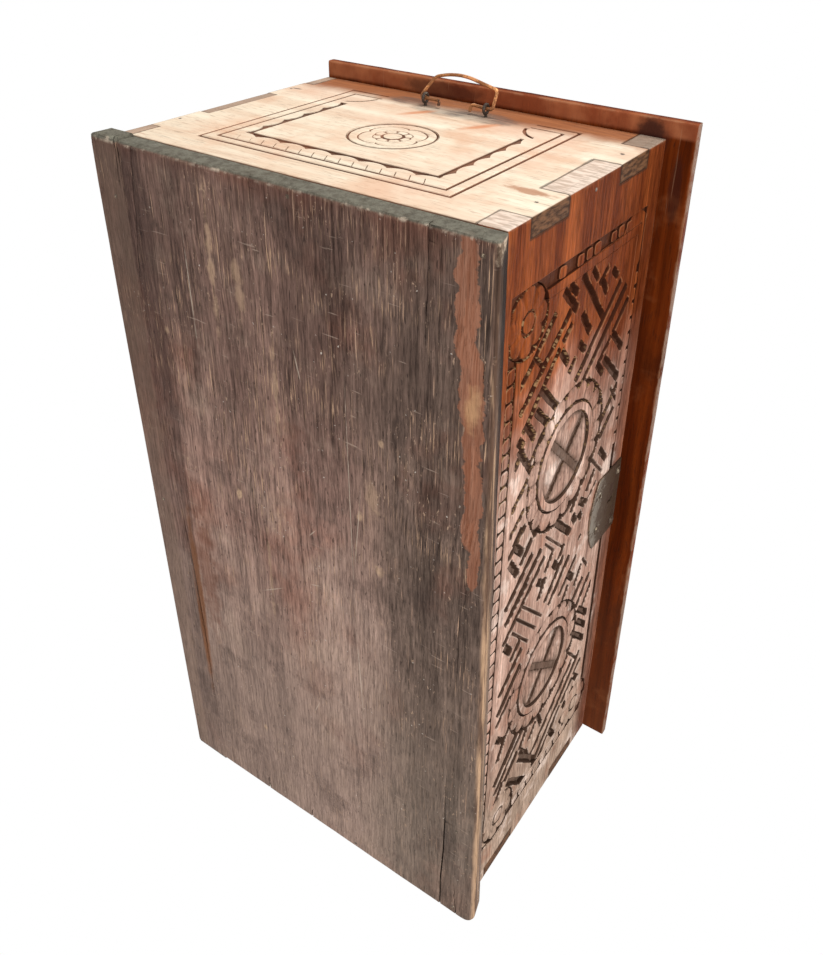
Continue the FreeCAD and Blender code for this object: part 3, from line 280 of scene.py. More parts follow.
nothing_selected()
bpy.ops.mesh.primitive_plane_add(size=8.0, location=(0, 0, -0.0002))
floor = bpy.context.object
floor.name = "floor"
settle(floor)
paper = bpy.data.materials.new("floor_paper")
paper.use_nodes = True
tree = paper.node_tree
tree.nodes.clear()
rays = tree.nodes.new("ShaderNodeLightPath")
side = tree.nodes.new("ShaderNodeNewGeometry")
front_side = tree.nodes.new("ShaderNodeMath")
front_side.operation = "SUBTRACT"
front_side.use_clamp = True
tree.links.new(rays.outputs["Is Camera Ray"], front_side.inputs[0])
tree.links.new(side.outputs["Backfacing"], front_side.inputs[1])
clear = tree.nodes.new("ShaderNodeBsdfTransparent")
matt = tree.nodes.new("ShaderNodeBsdfDiffuse")
matt.inputs["Color"].default_value = FLOOR_GREY
glow = tree.nodes.new("ShaderNodeEmission")
glow.inputs["Strength"].default_value = FLOOR_GLOW
lit = tree.nodes.new("ShaderNodeAddShader")
tree.links.new(matt.outputs[0], lit.inputs[0])
tree.links.new(glow.outputs[0], lit.inputs[1])
shown = tree.nodes.new("ShaderNodeMixShader")
tree.links.new(front_side.outputs[0], shown.inputs[0])
tree.links.new(clear.outputs[0], shown.inputs[1])
tree.links.new(lit.outputs[0], shown.inputs[2])
tree.links.new(shown.outputs[0], tree.nodes.new("ShaderNodeOutputMaterial").inputs["Surface"])
floor.data.materials.append(paper)
print("floor and lamps are set")

# %% [markdown]
# ## Finishes
#
# Every wood here is the same teak, but a hundred years have treated each side differently. The underside
# was never oiled and is grey and scratched. The front was rubbed and handled, red near the lid and dusty
# towards the right. The ends are faded and pale. So the grain, worn edges, stains and scratches are built
# once, as node groups with named sockets, and each board's material sets its own colours and amounts.
#
# Patterns are read from Object coordinates, which are metres in the chest's own frame, so that grain runs
# through a board as it does through real wood and keeps its scale on every piece.

# %% Short names for shader nodes
class Wiring:
    """Adds nodes to one node tree. A value may be a number, a colour or another node's socket."""

    def __init__(self, tree):
        self.tree = tree
        self.column = 0

    def add(self, kind, **settings):
        """Add a node of a kind, set aside from the last one."""
        made = self.tree.nodes.new(kind)
        self.column += 1
        made.location = (self.column * 60, -(self.column % 7) * 160)
        for name, value in settings.items():
            setattr(made, name, value)
        return made

    def feed(self, socket, value):
        """Link a socket to another node's, or write a number or colour into it."""
        if isinstance(value, bpy.types.NodeSocket):
            self.tree.links.new(value, socket)
        elif isinstance(value, (tuple, list)) and socket.type == "RGBA" and len(value) == 3:
            socket.default_value = (*value, 1.0)
        else:
            socket.default_value = value

    def maths(self, operation, first, second=0.0, clamp=False):
        """A sum of two values; clamp keeps it between 0 and 1."""
        made = self.add("ShaderNodeMath", operation=operation, use_clamp=clamp)
        for socket, value in zip(made.inputs, (first, second)):
            self.feed(socket, value)
        return made.outputs[0]

    def times(self, first, second):
        return self.maths("MULTIPLY", first, second)

    def plus(self, first, second):
        return self.maths("ADD", first, second)

    def less(self, first, second):
        return self.maths("SUBTRACT", first, second)

    def larger(self, first, second):
        return self.maths("MAXIMUM", first, second)

    def smaller(self, first, second):
        return self.maths("MINIMUM", first, second)

    def vector(self, operation, first, second=(0, 0, 0)):
        made = self.add("ShaderNodeVectorMath", operation=operation)
        self.feed(made.inputs[0], first)
        self.feed(made.inputs[1], second)
        return made.outputs["Value"] if operation == "LENGTH" else made.outputs["Vector"]

    def stretch(self, vector, amounts):
        """Multiply a vector, which squeezes a pattern read from it by those amounts along X, Y and Z."""
        return self.vector("MULTIPLY", vector, amounts)

    def shift(self, vector, amounts):
        """Add to a vector, which reads a pattern at another place."""
        return self.vector("ADD", vector, amounts)

    def noise(self, vector, scale=1.0, detail=3.0, roughness=0.55):
        made = self.add("ShaderNodeTexNoise")
        for name, value in zip(("Vector", "Scale", "Detail", "Roughness"),
                               (vector, scale, detail, roughness)):
            self.feed(made.inputs[name], value)
        return made.outputs["Fac"]

    def span(self, value, low, high, start=0.0, end=1.0):
        """Carry a value smoothly from the range low..high to start..end, and stop at the ends."""
        made = self.add("ShaderNodeMapRange", interpolation_type="SMOOTHSTEP")
        for socket, number in zip(made.inputs, (value, low, high, start, end)):
            self.feed(socket, number)
        return made.outputs["Result"]

    def blend(self, amount, first, second, how="MIX"):
        """Go from the first colour to the second by an amount."""
        made = self.add("ShaderNodeMix", data_type="RGBA", blend_type=how)
        self.feed(made.inputs[0], amount)
        self.feed(made.inputs[6], first)
        self.feed(made.inputs[7], second)
        return made.outputs[2]

    def split(self, vector):
        """The X, Y and Z of a vector."""
        made = self.add("ShaderNodeSeparateXYZ")
        self.feed(made.inputs[0], vector)
        return made.outputs["X"], made.outputs["Y"], made.outputs["Z"]

    def gather(self, x, y, z):
        """A vector from three values."""
        made = self.add("ShaderNodeCombineXYZ")
        for socket, value in zip(made.inputs, (x, y, z)):
            self.feed(socket, value)
        return made.outputs[0]

    def group(self, tree, **values):
        """Place a node group and set its named inputs."""
        made = self.add("ShaderNodeGroup", node_tree=tree)
        for name, value in values.items():
            self.feed(made.inputs[name.replace("_", " ")], value)
        return made.outputs

# %% Empty node groups
def new_group(name, inputs, outputs):
    """An empty node group with named sockets; also its wiring, its inputs and how to set its outputs."""
    tree = bpy.data.node_groups.new(name, "ShaderNodeTree")
    kinds = {"value": "NodeSocketFloat", "colour": "NodeSocketColor", "vector": "NodeSocketVector"}
    for label, kind in inputs.items():
        tree.interface.new_socket(label, in_out="INPUT", socket_type=kinds[kind])
    for label, kind in outputs.items():
        tree.interface.new_socket(label, in_out="OUTPUT", socket_type=kinds[kind])
    wiring = Wiring(tree)
    start, end = wiring.add("NodeGroupInput"), wiring.add("NodeGroupOutput")
    return tree, wiring, start.outputs, lambda label, value: wiring.feed(end.inputs[label], value)

# %% [markdown]
# ### Grain of old teak
#
# Teak shows three scales of grain at once: broad bands where the plank crosses its growth rings, fine
# fibres, and open pores that read as short dark dashes along the board. Each is a noise stretched along X.
# The vector handed to the group is turned first, where a board's grain runs another way.

# %% Grain group
grain_group, w, given, result = new_group(
    "teak_grain",
    {"Vector": "vector", "Pale": "colour", "Middle": "colour", "Deep": "colour", "Banding": "value"},
    {"Color": "colour", "Height": "value", "Fibre": "value", "Tone": "colour"},
)
sway = w.noise(w.stretch(given["Vector"], (5.0, 9.0, 9.0)), detail=2.0)
swayed = w.shift(given["Vector"], w.gather(0.0, w.times(sway, 0.02), w.times(sway, 0.02)))
bands = w.noise(w.stretch(swayed, (2.2, 55.0, 55.0)), detail=5.0, roughness=0.6)
fibres = w.noise(w.stretch(swayed, (14.0, 620.0, 620.0)), detail=3.0, roughness=0.7)
pores = w.noise(w.stretch(swayed, (70.0, 1500.0, 1500.0)), detail=1.0)
open_pores = w.span(pores, 0.60, 0.72)
band_mask = w.span(bands, w.less(0.5, given["Banding"]), w.plus(0.5, given["Banding"]))
broad = w.blend(band_mask, given["Deep"], given["Pale"])
ground = w.blend(w.span(fibres, 0.3, 0.7), broad, given["Middle"])
mottled = w.blend(0.45, ground, broad)
pore_colour = w.blend(0.6, given["Deep"], (0.02, 0.012, 0.01))
result("Color", w.blend(w.times(open_pores, 0.55), mottled, pore_colour))
height = w.less(w.times(fibres, 0.6), w.times(open_pores, 0.5))
result("Height", w.plus(height, w.times(bands, 0.3)))
result("Fibre", fibres)
streaks = w.noise(w.stretch(swayed, (11.0, 400.0, 400.0)), detail=3.0, roughness=0.65)
dashes = w.noise(w.stretch(given["Vector"], (62.0, 560.0, 560.0)), detail=2.0, roughness=0.6)
uneven = w.plus(w.times(streaks, 1.9), w.times(dashes, 1.9))
tone = w.larger(w.plus(uneven, w.less(w.times(bands, 0.9), 1.35)), 0.18)
result("Tone", w.gather(tone, tone, tone))
print("grain group nodes:", len(grain_group.nodes))

# %% [markdown]
# ### Edges rubbed by use
#
# Wear sits on a board's edges. Inside a box, the distance to the nearest edge is the second smallest of
# the three distances to its faces, since the smallest is the face that the point lies on. A noise makes
# the worn line wander. The group needs only the board's middle and half its size, which the solid gives.

# %% Worn edge group
edge_group, w, given, result = new_group(
    "worn_edge",
    {"Vector": "vector", "Middle": "vector", "Half": "vector", "Reach": "value"},
    {"Mask": "value"},
)
from_middle = w.vector("SUBTRACT", given["Vector"], given["Middle"])
inward = w.vector("SUBTRACT", given["Half"], w.vector("ABSOLUTE", from_middle))
x, y, z = w.split(inward)
smaller, larger = w.smaller(x, y), w.larger(x, y)
second = w.larger(smaller, w.smaller(larger, z))
wander = w.span(w.noise(given["Vector"], scale=60.0, detail=4.0), 0.25, 0.75, 0.15, 1.7)
result("Mask", w.span(second, 0.0, w.times(given["Reach"], wander), 1.0, 0.0))
print("worn edge nodes:", len(edge_group.nodes))

# %% [markdown]
# ### Stains, patches and scratches
#
# A stain is a soft egg with a ragged rim: the distance from a middle, measured in the stain's own half
# sizes, with noise added before it is cut off. Scratches are a noise stretched far along one line and kept
# only at its crests, in patches, because a thing is never scratched evenly.

# %% Stain and scratch groups
stain_group, w, given, result = new_group(
    "stain",
    {"Vector": "vector", "Middle": "vector", "Size": "vector", "Ragged": "value", "Soft": "value"},
    {"Mask": "value"},
)
offset = w.vector("DIVIDE", w.vector("SUBTRACT", given["Vector"], given["Middle"]), given["Size"])
rim = w.noise(given["Vector"], scale=75.0, detail=5.0, roughness=0.6)
uneven = w.times(w.less(rim, 0.5), given["Ragged"])
distance = w.plus(w.vector("LENGTH", offset), uneven)
result("Mask", w.span(distance, w.less(1.0, given["Soft"]), 1.0, 1.0, 0.0))

scratch_group, w, given, result = new_group(
    "scratches", {"Vector": "vector", "Amount": "value"}, {"Mask": "value"}
)
lines = w.noise(given["Vector"], scale=1.0, detail=2.0, roughness=0.6)
patches = w.span(w.noise(given["Vector"], scale=0.23, detail=2.0), 0.42, 0.62)
crest = w.span(lines, w.less(0.74, given["Amount"]), w.less(0.80, given["Amount"]))
result("Mask", w.times(crest, patches))
print("node groups:", len(bpy.data.node_groups))

# %% [markdown]
# ### Lines at the finger joints
#
# Dirt has settled in the joints at the chest's corners and draws them as dark lines. They lie in three
# kinds of places: level between two fingers, upright on the end faces, and upright on the long faces. One
# group finds all three, so every board that meets there can use it.

# %% Joint line group
FINGER_LEVELS = (0.041, 0.087, 0.159, 0.203)    # heights of the level lines, in metres
END_FINGERS = ((0.064, 0.023), (0.181, 0.022))  # middle and half height of the fingers of an end board
JOINT_DIRT = (0.032, 0.019, 0.013)

joint_group, w, given, result = new_group("joint_lines", {"Vector": "vector"}, {"Mask": "value"})
x, y, z = w.split(given["Vector"])
width = w.span(w.noise(given["Vector"], scale=45.0, detail=4.0), 0.35, 0.65, 0.0007, 0.0019)


def line_at(distance):
    """A dark line where a distance in metres is small; its width wanders."""
    return w.span(distance, w.times(width, 0.3), width, 1.0, 0.0)


def off(value, from_value):
    """How far one value lies from another, on either side."""
    return w.maths("ABSOLUTE", w.less(value, from_value))


sideways, deepways = w.maths("ABSOLUTE", x), w.maths("ABSOLUTE", y)
level = off(z, FINGER_LEVELS[0])
for height in FINGER_LEVELS[1:]:
    level = w.smaller(level, off(z, height))
low_finger, high_finger = [w.less(off(z, middle), half) for middle, half in END_FINGERS]
beside_finger = w.smaller(low_finger, high_finger)
at_end_finger = w.span(beside_finger, 0.0, 0.0004, 1.0, 0.0)
front_or_back = w.larger(w.span(y, -0.1316, -0.1312, 1.0, 0.0), w.span(y, 0.1412, 0.1416))
in_corner = w.times(w.span(sideways, 0.2862, 0.2866), front_or_back)
on_end = w.times(w.span(sideways, 0.2990, 0.2996), w.less(1.0, at_end_finger))
upright = w.times(line_at(w.smaller(off(y, -0.132), off(y, 0.142))), on_end)
on_long = w.times(w.span(deepways, 0.1510, 0.1516), at_end_finger)
second_upright = w.times(line_at(off(sideways, 0.287)), on_long)
result("Mask", w.larger(w.times(line_at(level), in_corner), w.larger(upright, second_upright)))
print("joint line nodes:", len(joint_group.nodes))

# %% New materials
def new_material(name, rough, **shader_values):
    """A material with a Principled shader; returns it with its wiring, shader and object coordinates."""
    material = bpy.data.materials.new(name)
    material.use_nodes = True
    tree = material.node_tree
    shader = tree.nodes["Principled BSDF"]
    shader.inputs["Roughness"].default_value = rough
    for label, value in shader_values.items():
        shader.inputs[label.replace("_", " ")].default_value = value
    wiring = Wiring(tree)
    coordinates = wiring.add("ShaderNodeTexCoord").outputs
    place, wiring.normal_here = coordinates["Object"], coordinates["Normal"]
    return material, wiring, shader, place


def raise_surface(wiring, shader, height, distance, strength):
    """Feed a height, in shares of a distance in metres, to the shader as bumps."""
    bump = wiring.add("ShaderNodeBump")
    bump.inputs["Distance"].default_value = distance
    bump.inputs["Strength"].default_value = strength
    wiring.feed(bump.inputs["Height"], height)
    wiring.feed(shader.inputs["Normal"], bump.outputs["Normal"])

# %% Marks that come again on every board
def stained(w, surface, place, middle, size, ragged, soft, amount, colour):
    """Blend one stain of a colour over a surface; its middle and half sizes are in metres."""
    stain = w.group(stain_group, Vector=place, Middle=middle, Size=size, Ragged=ragged, Soft=soft)
    return w.blend(w.times(stain["Mask"], amount), surface, colour)


def rubbed_edges(w, surface, place, node, reach, amount, colour):
    """Blend a rubbed colour over a surface near the edges of a board, whose box its solid gives."""
    low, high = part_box(node)
    worn_edge = w.group(edge_group, Vector=place, Middle=tuple((low + high) / 2),
                        Half=tuple((high - low) / 2), Reach=reach)
    return w.blend(w.times(worn_edge["Mask"], amount), surface, colour)


def dirty_joints(w, surface, place):
    """Draw the dirt of the finger joints over a surface."""
    joint = w.group(joint_group, Vector=place)
    return w.blend(w.times(joint["Mask"], 0.65), surface, JOINT_DIRT)

# %% [markdown]
# ### The underside: grey, scratched, never oiled
#
# The base is dark brown gone grey. It is redder and more scratched towards the left end, greener and
# flatter towards the right, with a few rubbed tan flecks, one long pale scratch, a red-brown patch by the
# front corner where the surface split off, and rust-red wear along the open joint at the back.

# %% Underside: regions and grain
underside, w, shader, place = new_material("weathered_underside", 0.70, Specular_IOR_Level=0.04)
x, y, z = w.split(place)
grain = w.group(grain_group, Vector=place, Pale=(0.300, 0.190, 0.145), Middle=(0.215, 0.128, 0.097),
                Deep=(0.130, 0.076, 0.058), Banding=0.16)
broad = w.noise(place, scale=8.0, detail=4.0, roughness=0.6)
sway_x = w.plus(x, w.times(w.less(broad, 0.5), 0.5))
to_right = w.span(sway_x, -0.12, 0.16)
sway_y = w.plus(y, w.times(w.less(broad, 0.5), 0.10))
to_front = w.span(sway_y, -0.105, -0.040, 1.0, 0.0)
region = w.blend(to_right, (0.205, 0.122, 0.099), (0.300, 0.215, 0.176))
front_grey = w.blend(w.span(x, 0.02, 0.20), (0.150, 0.112, 0.089), (0.190, 0.155, 0.122))
region = w.blend(w.times(to_front, w.span(x, -0.2, 0.0, 0.6, 0.9)), region, front_grey)
wood = w.blend(0.35, region, grain["Color"])
cloud = w.noise(place, scale=19.0, detail=6.0, roughness=0.68)
wood = w.blend(w.span(cloud, 0.50, 0.68, 0.0, 0.42), wood, (0.340, 0.240, 0.185))
wood = w.blend(w.span(cloud, 0.36, 0.48, 0.5, 0.0), wood, (0.100, 0.066, 0.053))
reddish = w.noise(w.shift(place, (3.1, 1.7, 0.4)), scale=11.0, detail=5.0, roughness=0.6)
reddened = w.times(w.span(reddish, 0.50, 0.66, 0.0, 0.55), w.span(to_right, 0.0, 1.0, 1.0, 0.45))
wood = w.blend(reddened, wood, (0.185, 0.078, 0.052))
toned = w.blend(w.span(x, -0.06, 0.16, 1.0, 0.60), wood, grain["Tone"], "MULTIPLY")
lighter = w.times(w.span(x, -0.18, 0.0, 0.0, 0.46), w.span(y, -0.14, -0.01))
lighter = w.times(lighter, w.span(x, 0.04, 0.20, 1.0, 0.45))
front_side = w.span(w.plus(y, w.times(broad, 0.06)), -0.110, -0.030, 0.22, 0.0)
darker = w.times(front_side, w.span(x, 0.02, 0.16, 1.0, 0.1))
left_side = w.span(w.plus(x, w.times(broad, 0.08)), -0.200, -0.030, 0.24, 0.0)
darker = w.plus(darker, left_side)
drifts = w.noise(w.stretch(place, (5.0, 13.0, 9.0)), detail=5.0, roughness=0.62)
uneven = w.plus(w.span(drifts, 0.34, 0.66, 0.86, 1.18), w.less(lighter, darker))
toned = w.blend(1.0, toned, w.gather(uneven, uneven, uneven), "MULTIPLY")
print("underside, with its grain:", len(underside.node_tree.nodes), "nodes")

# %% [markdown]
# Over the grain lie the marks of dragging. Two sets of scratches cross, long ones along the board and short
# ones over it, with pits, flecks, dashes and specks of dust in patches. Each is a stretched noise.

# %% Underside: pits, scratches and flecks
dark_pits = w.noise(w.stretch(place, (120.0, 420.0, 300.0)), detail=2.0, roughness=0.5)
pitted = w.times(w.span(dark_pits, 0.64, 0.72, 0.0, 0.7), w.span(x, -0.06, 0.20, 1.0, 0.6))
toned = w.blend(pitted, toned, (0.030, 0.020, 0.017))
long_scratch = w.group(scratch_group, Vector=w.stretch(place, (16.0, 420.0, 420.0)), Amount=0.10)
tan = w.blend(w.times(long_scratch["Mask"], w.span(x, -0.05, 0.25, 0.9, 0.4)), toned, (0.52, 0.33, 0.23))
cross_scratch = w.group(scratch_group, Vector=w.stretch(place, (360.0, 30.0, 30.0)), Amount=0.08)
tan = w.blend(w.times(cross_scratch["Mask"], 0.55), tan, (0.46, 0.34, 0.27))
flecks = w.noise(w.stretch(place, (150.0, 380.0, 180.0)), detail=3.0, roughness=0.7)
fleck_patches = w.span(w.noise(place, scale=24.0, detail=3.0), 0.46, 0.62)
fleck_mask = w.times(w.span(flecks, 0.60, 0.68), fleck_patches)
worn = w.blend(w.times(fleck_mask, 0.75), tan, (0.54, 0.36, 0.25))
fine_dashes = w.noise(w.stretch(place, (34.0, 800.0, 300.0)), detail=3.0, roughness=0.65)
dash_patches = w.span(w.noise(place, scale=15.0, detail=3.0), 0.44, 0.62)
dash_places = w.times(dash_patches, w.span(x, -0.06, 0.20, 1.0, 0.25))
dashed = w.times(w.span(fine_dashes, 0.56, 0.66, 0.0, 0.85), dash_places)
worn = w.blend(dashed, worn, (0.600, 0.380, 0.245))
dust = w.noise(w.stretch(place, (330.0, 330.0, 330.0)), detail=1.0)
worn = w.blend(w.times(w.span(dust, 0.735, 0.76, 0.0, 0.8), fleck_patches), worn, (0.66, 0.57, 0.49))
print("underside, with its flecks:", len(underside.node_tree.nodes), "nodes")

# %% [markdown]
# A few marks are too plain to be left to chance, so each has a place of its own. Rubbed spots are soft
# stains; a drawn scratch is a stain that is very long and thin, turned to its line by a Mapping node.

# %% Underside: marks with a place of their own
RUBBED_SPOTS = (  # x, y, half length, half width, strength
    (-0.145, -0.079, 0.004, 0.003, 0.6), (-0.078, -0.059, 0.006, 0.004, 0.7),
    (-0.045, 0.056, 0.005, 0.003, 0.9), (0.211, 0.054, 0.006, 0.003, 0.8),
    (-0.166, 0.113, 0.006, 0.004, 0.5), (-0.040, -0.075, 0.007, 0.006, 0.8),
    (-0.100, -0.070, 0.022, 0.007, 0.35), (-0.235, 0.060, 0.060, 0.004, 0.5),
    (-0.225, 0.036, 0.030, 0.006, 0.4), (-0.150, 0.010, 0.050, 0.0025, 0.4),
    (0.020, 0.030, 0.060, 0.0022, 0.35),
)
RUBBED_TAN = (0.60, 0.40, 0.26)
for spot_x, spot_y, long, wide, amount in RUBBED_SPOTS:
    worn = stained(w, worn, place, (spot_x, spot_y, 0.0), (long, wide, 0.012),
                   3.2, 0.8, amount, RUBBED_TAN)
DRAWN_SCRATCHES = (  # from x, y to x, y, half width
    (-0.200, -0.050, 0.020, -0.053, 0.0005), (0.020, -0.053, 0.135, -0.059, 0.0007),
    (0.026, 0.015, 0.045, 0.044, 0.0006), (-0.048, -0.020, -0.038, -0.012, 0.0006),
    (0.005, -0.022, 0.009, -0.010, 0.0006), (-0.192, -0.008, -0.165, -0.014, 0.0008),
    (0.132, -0.014, 0.152, -0.006, 0.0006), (-0.020, -0.053, -0.110, -0.062, 0.0005),
    (-0.262, 0.084, -0.150, 0.082, 0.0008),
)
SCRATCH_TAN = (0.60, 0.48, 0.38)
for from_x, from_y, to_x, to_y, half_width in DRAWN_SCRATCHES:
    span_x, span_y = to_x - from_x, to_y - from_y
    length = math.hypot(span_x, span_y)
    turned = w.add("ShaderNodeMapping", vector_type="TEXTURE")
    turned.inputs["Location"].default_value = ((from_x + to_x) / 2, (from_y + to_y) / 2, 0.0)
    turned.inputs["Rotation"].default_value = (0.0, 0.0, math.atan2(span_y, span_x))
    w.feed(turned.inputs["Vector"], place)
    worn = stained(w, worn, turned.outputs[0], (0.0, 0.0, 0.0), (length / 2, half_width, 0.01),
                   1.6, 0.8, 0.7, SCRATCH_TAN)
print("marks placed:", len(RUBBED_SPOTS) + len(DRAWN_SCRATCHES))

# %% [markdown]
# By the front edge the surface came off in long blades, and bare red wood shows there. The blades are
# stains too, read through a vector that a noise shakes sideways, which makes their rims ragged.

# %% Underside: the split-off surface and three patches
split_colour = w.blend(w.span(grain["Fibre"], 0.3, 0.7), (0.250, 0.088, 0.045), (0.400, 0.185, 0.115))
ragged = w.less(w.noise(w.stretch(place, (60.0, 25.0, 25.0)), detail=4.0, roughness=0.7), 0.5)
ragged_place = w.shift(place, w.gather(0.0, w.times(ragged, 0.014), 0.0))
SPLIT_OFF = (  # x, y, half length, half width: where the surface came off in blades along the front edge
    (-0.262, -0.138, 0.048, 0.008), (-0.222, -0.141, 0.045, 0.007), (-0.185, -0.146, 0.055, 0.0065),
    (-0.130, -0.147, 0.045, 0.007), (-0.090, -0.150, 0.032, 0.005),
)
for split_x, split_y, long, wide in SPLIT_OFF:
    worn = stained(w, worn, ragged_place, (split_x, split_y, 0.0), (long, wide, 0.012),
                   1.0, 0.14, 0.8, split_colour)
PATCHES = (  # middle, half sizes, ragged, soft, strength, colour
    ((-0.196, -0.144, 0.0), (0.020, 0.007, 0.01), 2.0, 0.8, 0.5, (0.72, 0.43, 0.22)),   # bare wood
    ((0.055, 0.104, 0.0), (0.095, 0.016, 0.03), 1.8, 0.8, 0.6, (0.19, 0.075, 0.045)),   # red by the strip
    ((0.098, 0.119, 0.004), (0.125, 0.006, 0.02), 0.6, 0.5, 0.8, (0.33, 0.13, 0.05)),   # the open joint
)
for patch in PATCHES:
    worn = stained(w, worn, place, *patch)
print("blades and patches:", len(SPLIT_OFF) + len(PATCHES))

# %% [markdown]
# Last come the places that the board's shape decides: the front lip, the rubbed edges, the back strip and
# the open joint before it, painted shade inside the cracks, a chewed corner and the grey end grain.

# %% Underside: lip, edges, joint, painted shade in the cracks, and ends
end_red = w.span(w.plus(x, w.times(cloud, 0.02)), -0.297, -0.276, 0.45, 0.0)
worn = w.blend(end_red, worn, (0.17, 0.068, 0.048))
lip = w.span(w.plus(y, w.times(x, 0.0183)), -0.1615, -0.1575, 1.0, 0.0)
lip_noise = w.noise(w.stretch(place, (16.0, 160.0, 220.0)), detail=4.0)
lip_pale = w.span(lip_noise, w.span(x, -0.20, 0.0, 0.56, 0.40), w.span(x, -0.20, 0.0, 0.70, 0.62))
lip_tone = w.blend(lip_pale, (0.120, 0.066, 0.042), (0.560, 0.350, 0.210))
worn = w.blend(w.times(lip, w.span(x, -0.20, -0.02, 0.80, 0.90)), worn, lip_tone)
worn = rubbed_edges(w, worn, place, "base_board", 0.0035, 0.3, (0.40, 0.27, 0.19))
back_strip = w.span(y, 0.1135, 0.1165, 0.0, 0.42)
worn = w.blend(w.times(back_strip, w.span(x, 0.0, 0.25, 1.0, 0.4)), worn, (0.070, 0.040, 0.034))
# Painted shade: the walls inside the cracks are painted near black.
within_rims = w.times(w.span(w.maths("ABSOLUTE", x), 0.2955, 0.2985, 1.0, 0.0), w.span(y, -0.158, -0.154))
beside_joint = w.larger(w.span(y, 0.106, 0.109, 1.0, 0.0), w.span(y, 0.128, 0.130))
crack_shade_mask = w.times(w.span(z, 0.0004, 0.0010), w.times(within_rims, beside_joint))
worn = w.blend(w.times(crack_shade_mask, 0.95), worn, (0.016, 0.010, 0.008))
chewed = w.blend(w.span(flecks, 0.45, 0.60), (0.200, 0.140, 0.095), (0.620, 0.480, 0.350))
worn = stained(w, worn, place, (-0.299, -0.163, 0.004), (0.011, 0.013, 0.016), 2.4, 0.5, 0.8, chewed)
at_end = w.larger(w.span(x, -0.2992, -0.2975, 1.0, 0.0), w.span(x, 0.2975, 0.2992))
end_specks = w.span(w.noise(place, scale=150.0, detail=6.0, roughness=0.7), 0.34, 0.70)
end_mottle = w.blend(end_specks, (0.180, 0.176, 0.138), (0.085, 0.080, 0.062))
worn = w.blend(w.times(at_end, 0.9), worn, end_mottle)
foot = w.span(w.plus(z, w.times(w.noise(place, scale=120.0, detail=3.0), 0.004)), 0.0016, 0.0028, 1.0, 0.0)
chipped = w.times(foot, w.span(w.noise(place, scale=70.0, detail=5.0, roughness=0.7), 0.46, 0.58))
chipped = w.times(chipped, w.span(x, -0.2960, -0.2985))
worn = w.blend(w.times(chipped, 0.8), worn, (0.640, 0.520, 0.400))
w.feed(shader.inputs["Base Color"], worn)
w.feed(shader.inputs["Roughness"], w.span(cloud, 0.3, 0.7, 0.58, 0.80))
relief = w.less(w.plus(grain["Height"], w.times(dark_pits, -0.5)), w.times(long_scratch["Mask"], 0.3))
raise_surface(w, shader, relief, 0.0009, 0.9)
print("underside, finished:", len(underside.node_tree.nodes), "nodes")

# %% [markdown]
# ### The carved front: oiled, handled and dusty
#
# Near the lid and the left end the front still has its red oil. Further right, dust and dry air have
# turned it a dull pink-brown, with the white room's sheen painted into that colour. Depth below the face
# decides the rest: the walls of a groove go dark with dirt and painted shade, and its floor is grey with
# dust and darkened by painted shade. Pale patches of painted sheen, painted highlights on the rims and
# painted glints on some walls stand for the room's light on the rubbed wood.

# %% Front material: old oil, dust and painted sheen
front_teak, w, shader, place = new_material("carved_front_teak", 0.48, Specular_IOR_Level=0.006)
x, y, z = w.split(place)
oiled = w.group(grain_group, Vector=place, Pale=(0.300, 0.078, 0.020), Middle=(0.205, 0.044, 0.011),
                Deep=(0.105, 0.022, 0.007), Banding=0.16)
# The dry grain's dull pink-brown is faded, dusty wood with the white room's sheen painted into its colour.
dry_and_sheen = w.group(grain_group, Vector=place, Pale=(0.590, 0.395, 0.312), Middle=(0.480, 0.300, 0.235),
              Deep=(0.270, 0.145, 0.103), Banding=0.20)
wide_noise = w.less(w.noise(place, scale=13.0, detail=4.0, roughness=0.6), 0.5)
towards_right = w.span(w.plus(x, w.times(wide_noise, 0.20)), -0.205, -0.100)
near_lid = w.span(w.plus(z, w.times(wide_noise, 0.03)), 0.1980, 0.2290)
faded_with_sheen = w.times(towards_right, w.less(1.0, w.times(near_lid, 0.75)))
surface = w.blend(faded_with_sheen, oiled["Color"], dry_and_sheen["Color"])
tan_right = w.span(w.plus(x, w.times(wide_noise, 0.2)), 0.08, 0.28, 0.0, 0.7)
surface = w.blend(w.times(tan_right, w.less(1.0, near_lid)), surface, (0.355, 0.262, 0.190))
patchy = w.noise(w.shift(place, (0.7, 2.0, 5.0)), scale=34.0, detail=4.0, roughness=0.65)
surface = w.blend(w.span(patchy, 0.52, 0.70, 0.0, 0.55), surface,
                  w.blend(faded_with_sheen, (0.150, 0.036, 0.014), (0.330, 0.150, 0.095)))
# Painted sheen: pale patches on the dry face stand in for the white room's reflection on rubbed wood.
painted_sheen = w.times(w.span(patchy, 0.34, 0.46, 1.0, 0.0), w.span(faded_with_sheen, 0.3, 0.8))
surface = w.blend(w.times(painted_sheen, 0.6), surface, (0.760, 0.600, 0.510))
surface = w.blend(0.8, surface, oiled["Tone"], "MULTIPLY")

# %% Front material: dirt and painted shade in the carving, rubbed rims with painted highlights, painted glints and end grain
depth = w.times(w.plus(y, 0.152), 1000.0)
in_carving = w.span(y, -0.1465, -0.1455, 1.0, 0.0)
facing = w.times(w.split(w.normal_here)[1], -1.0)
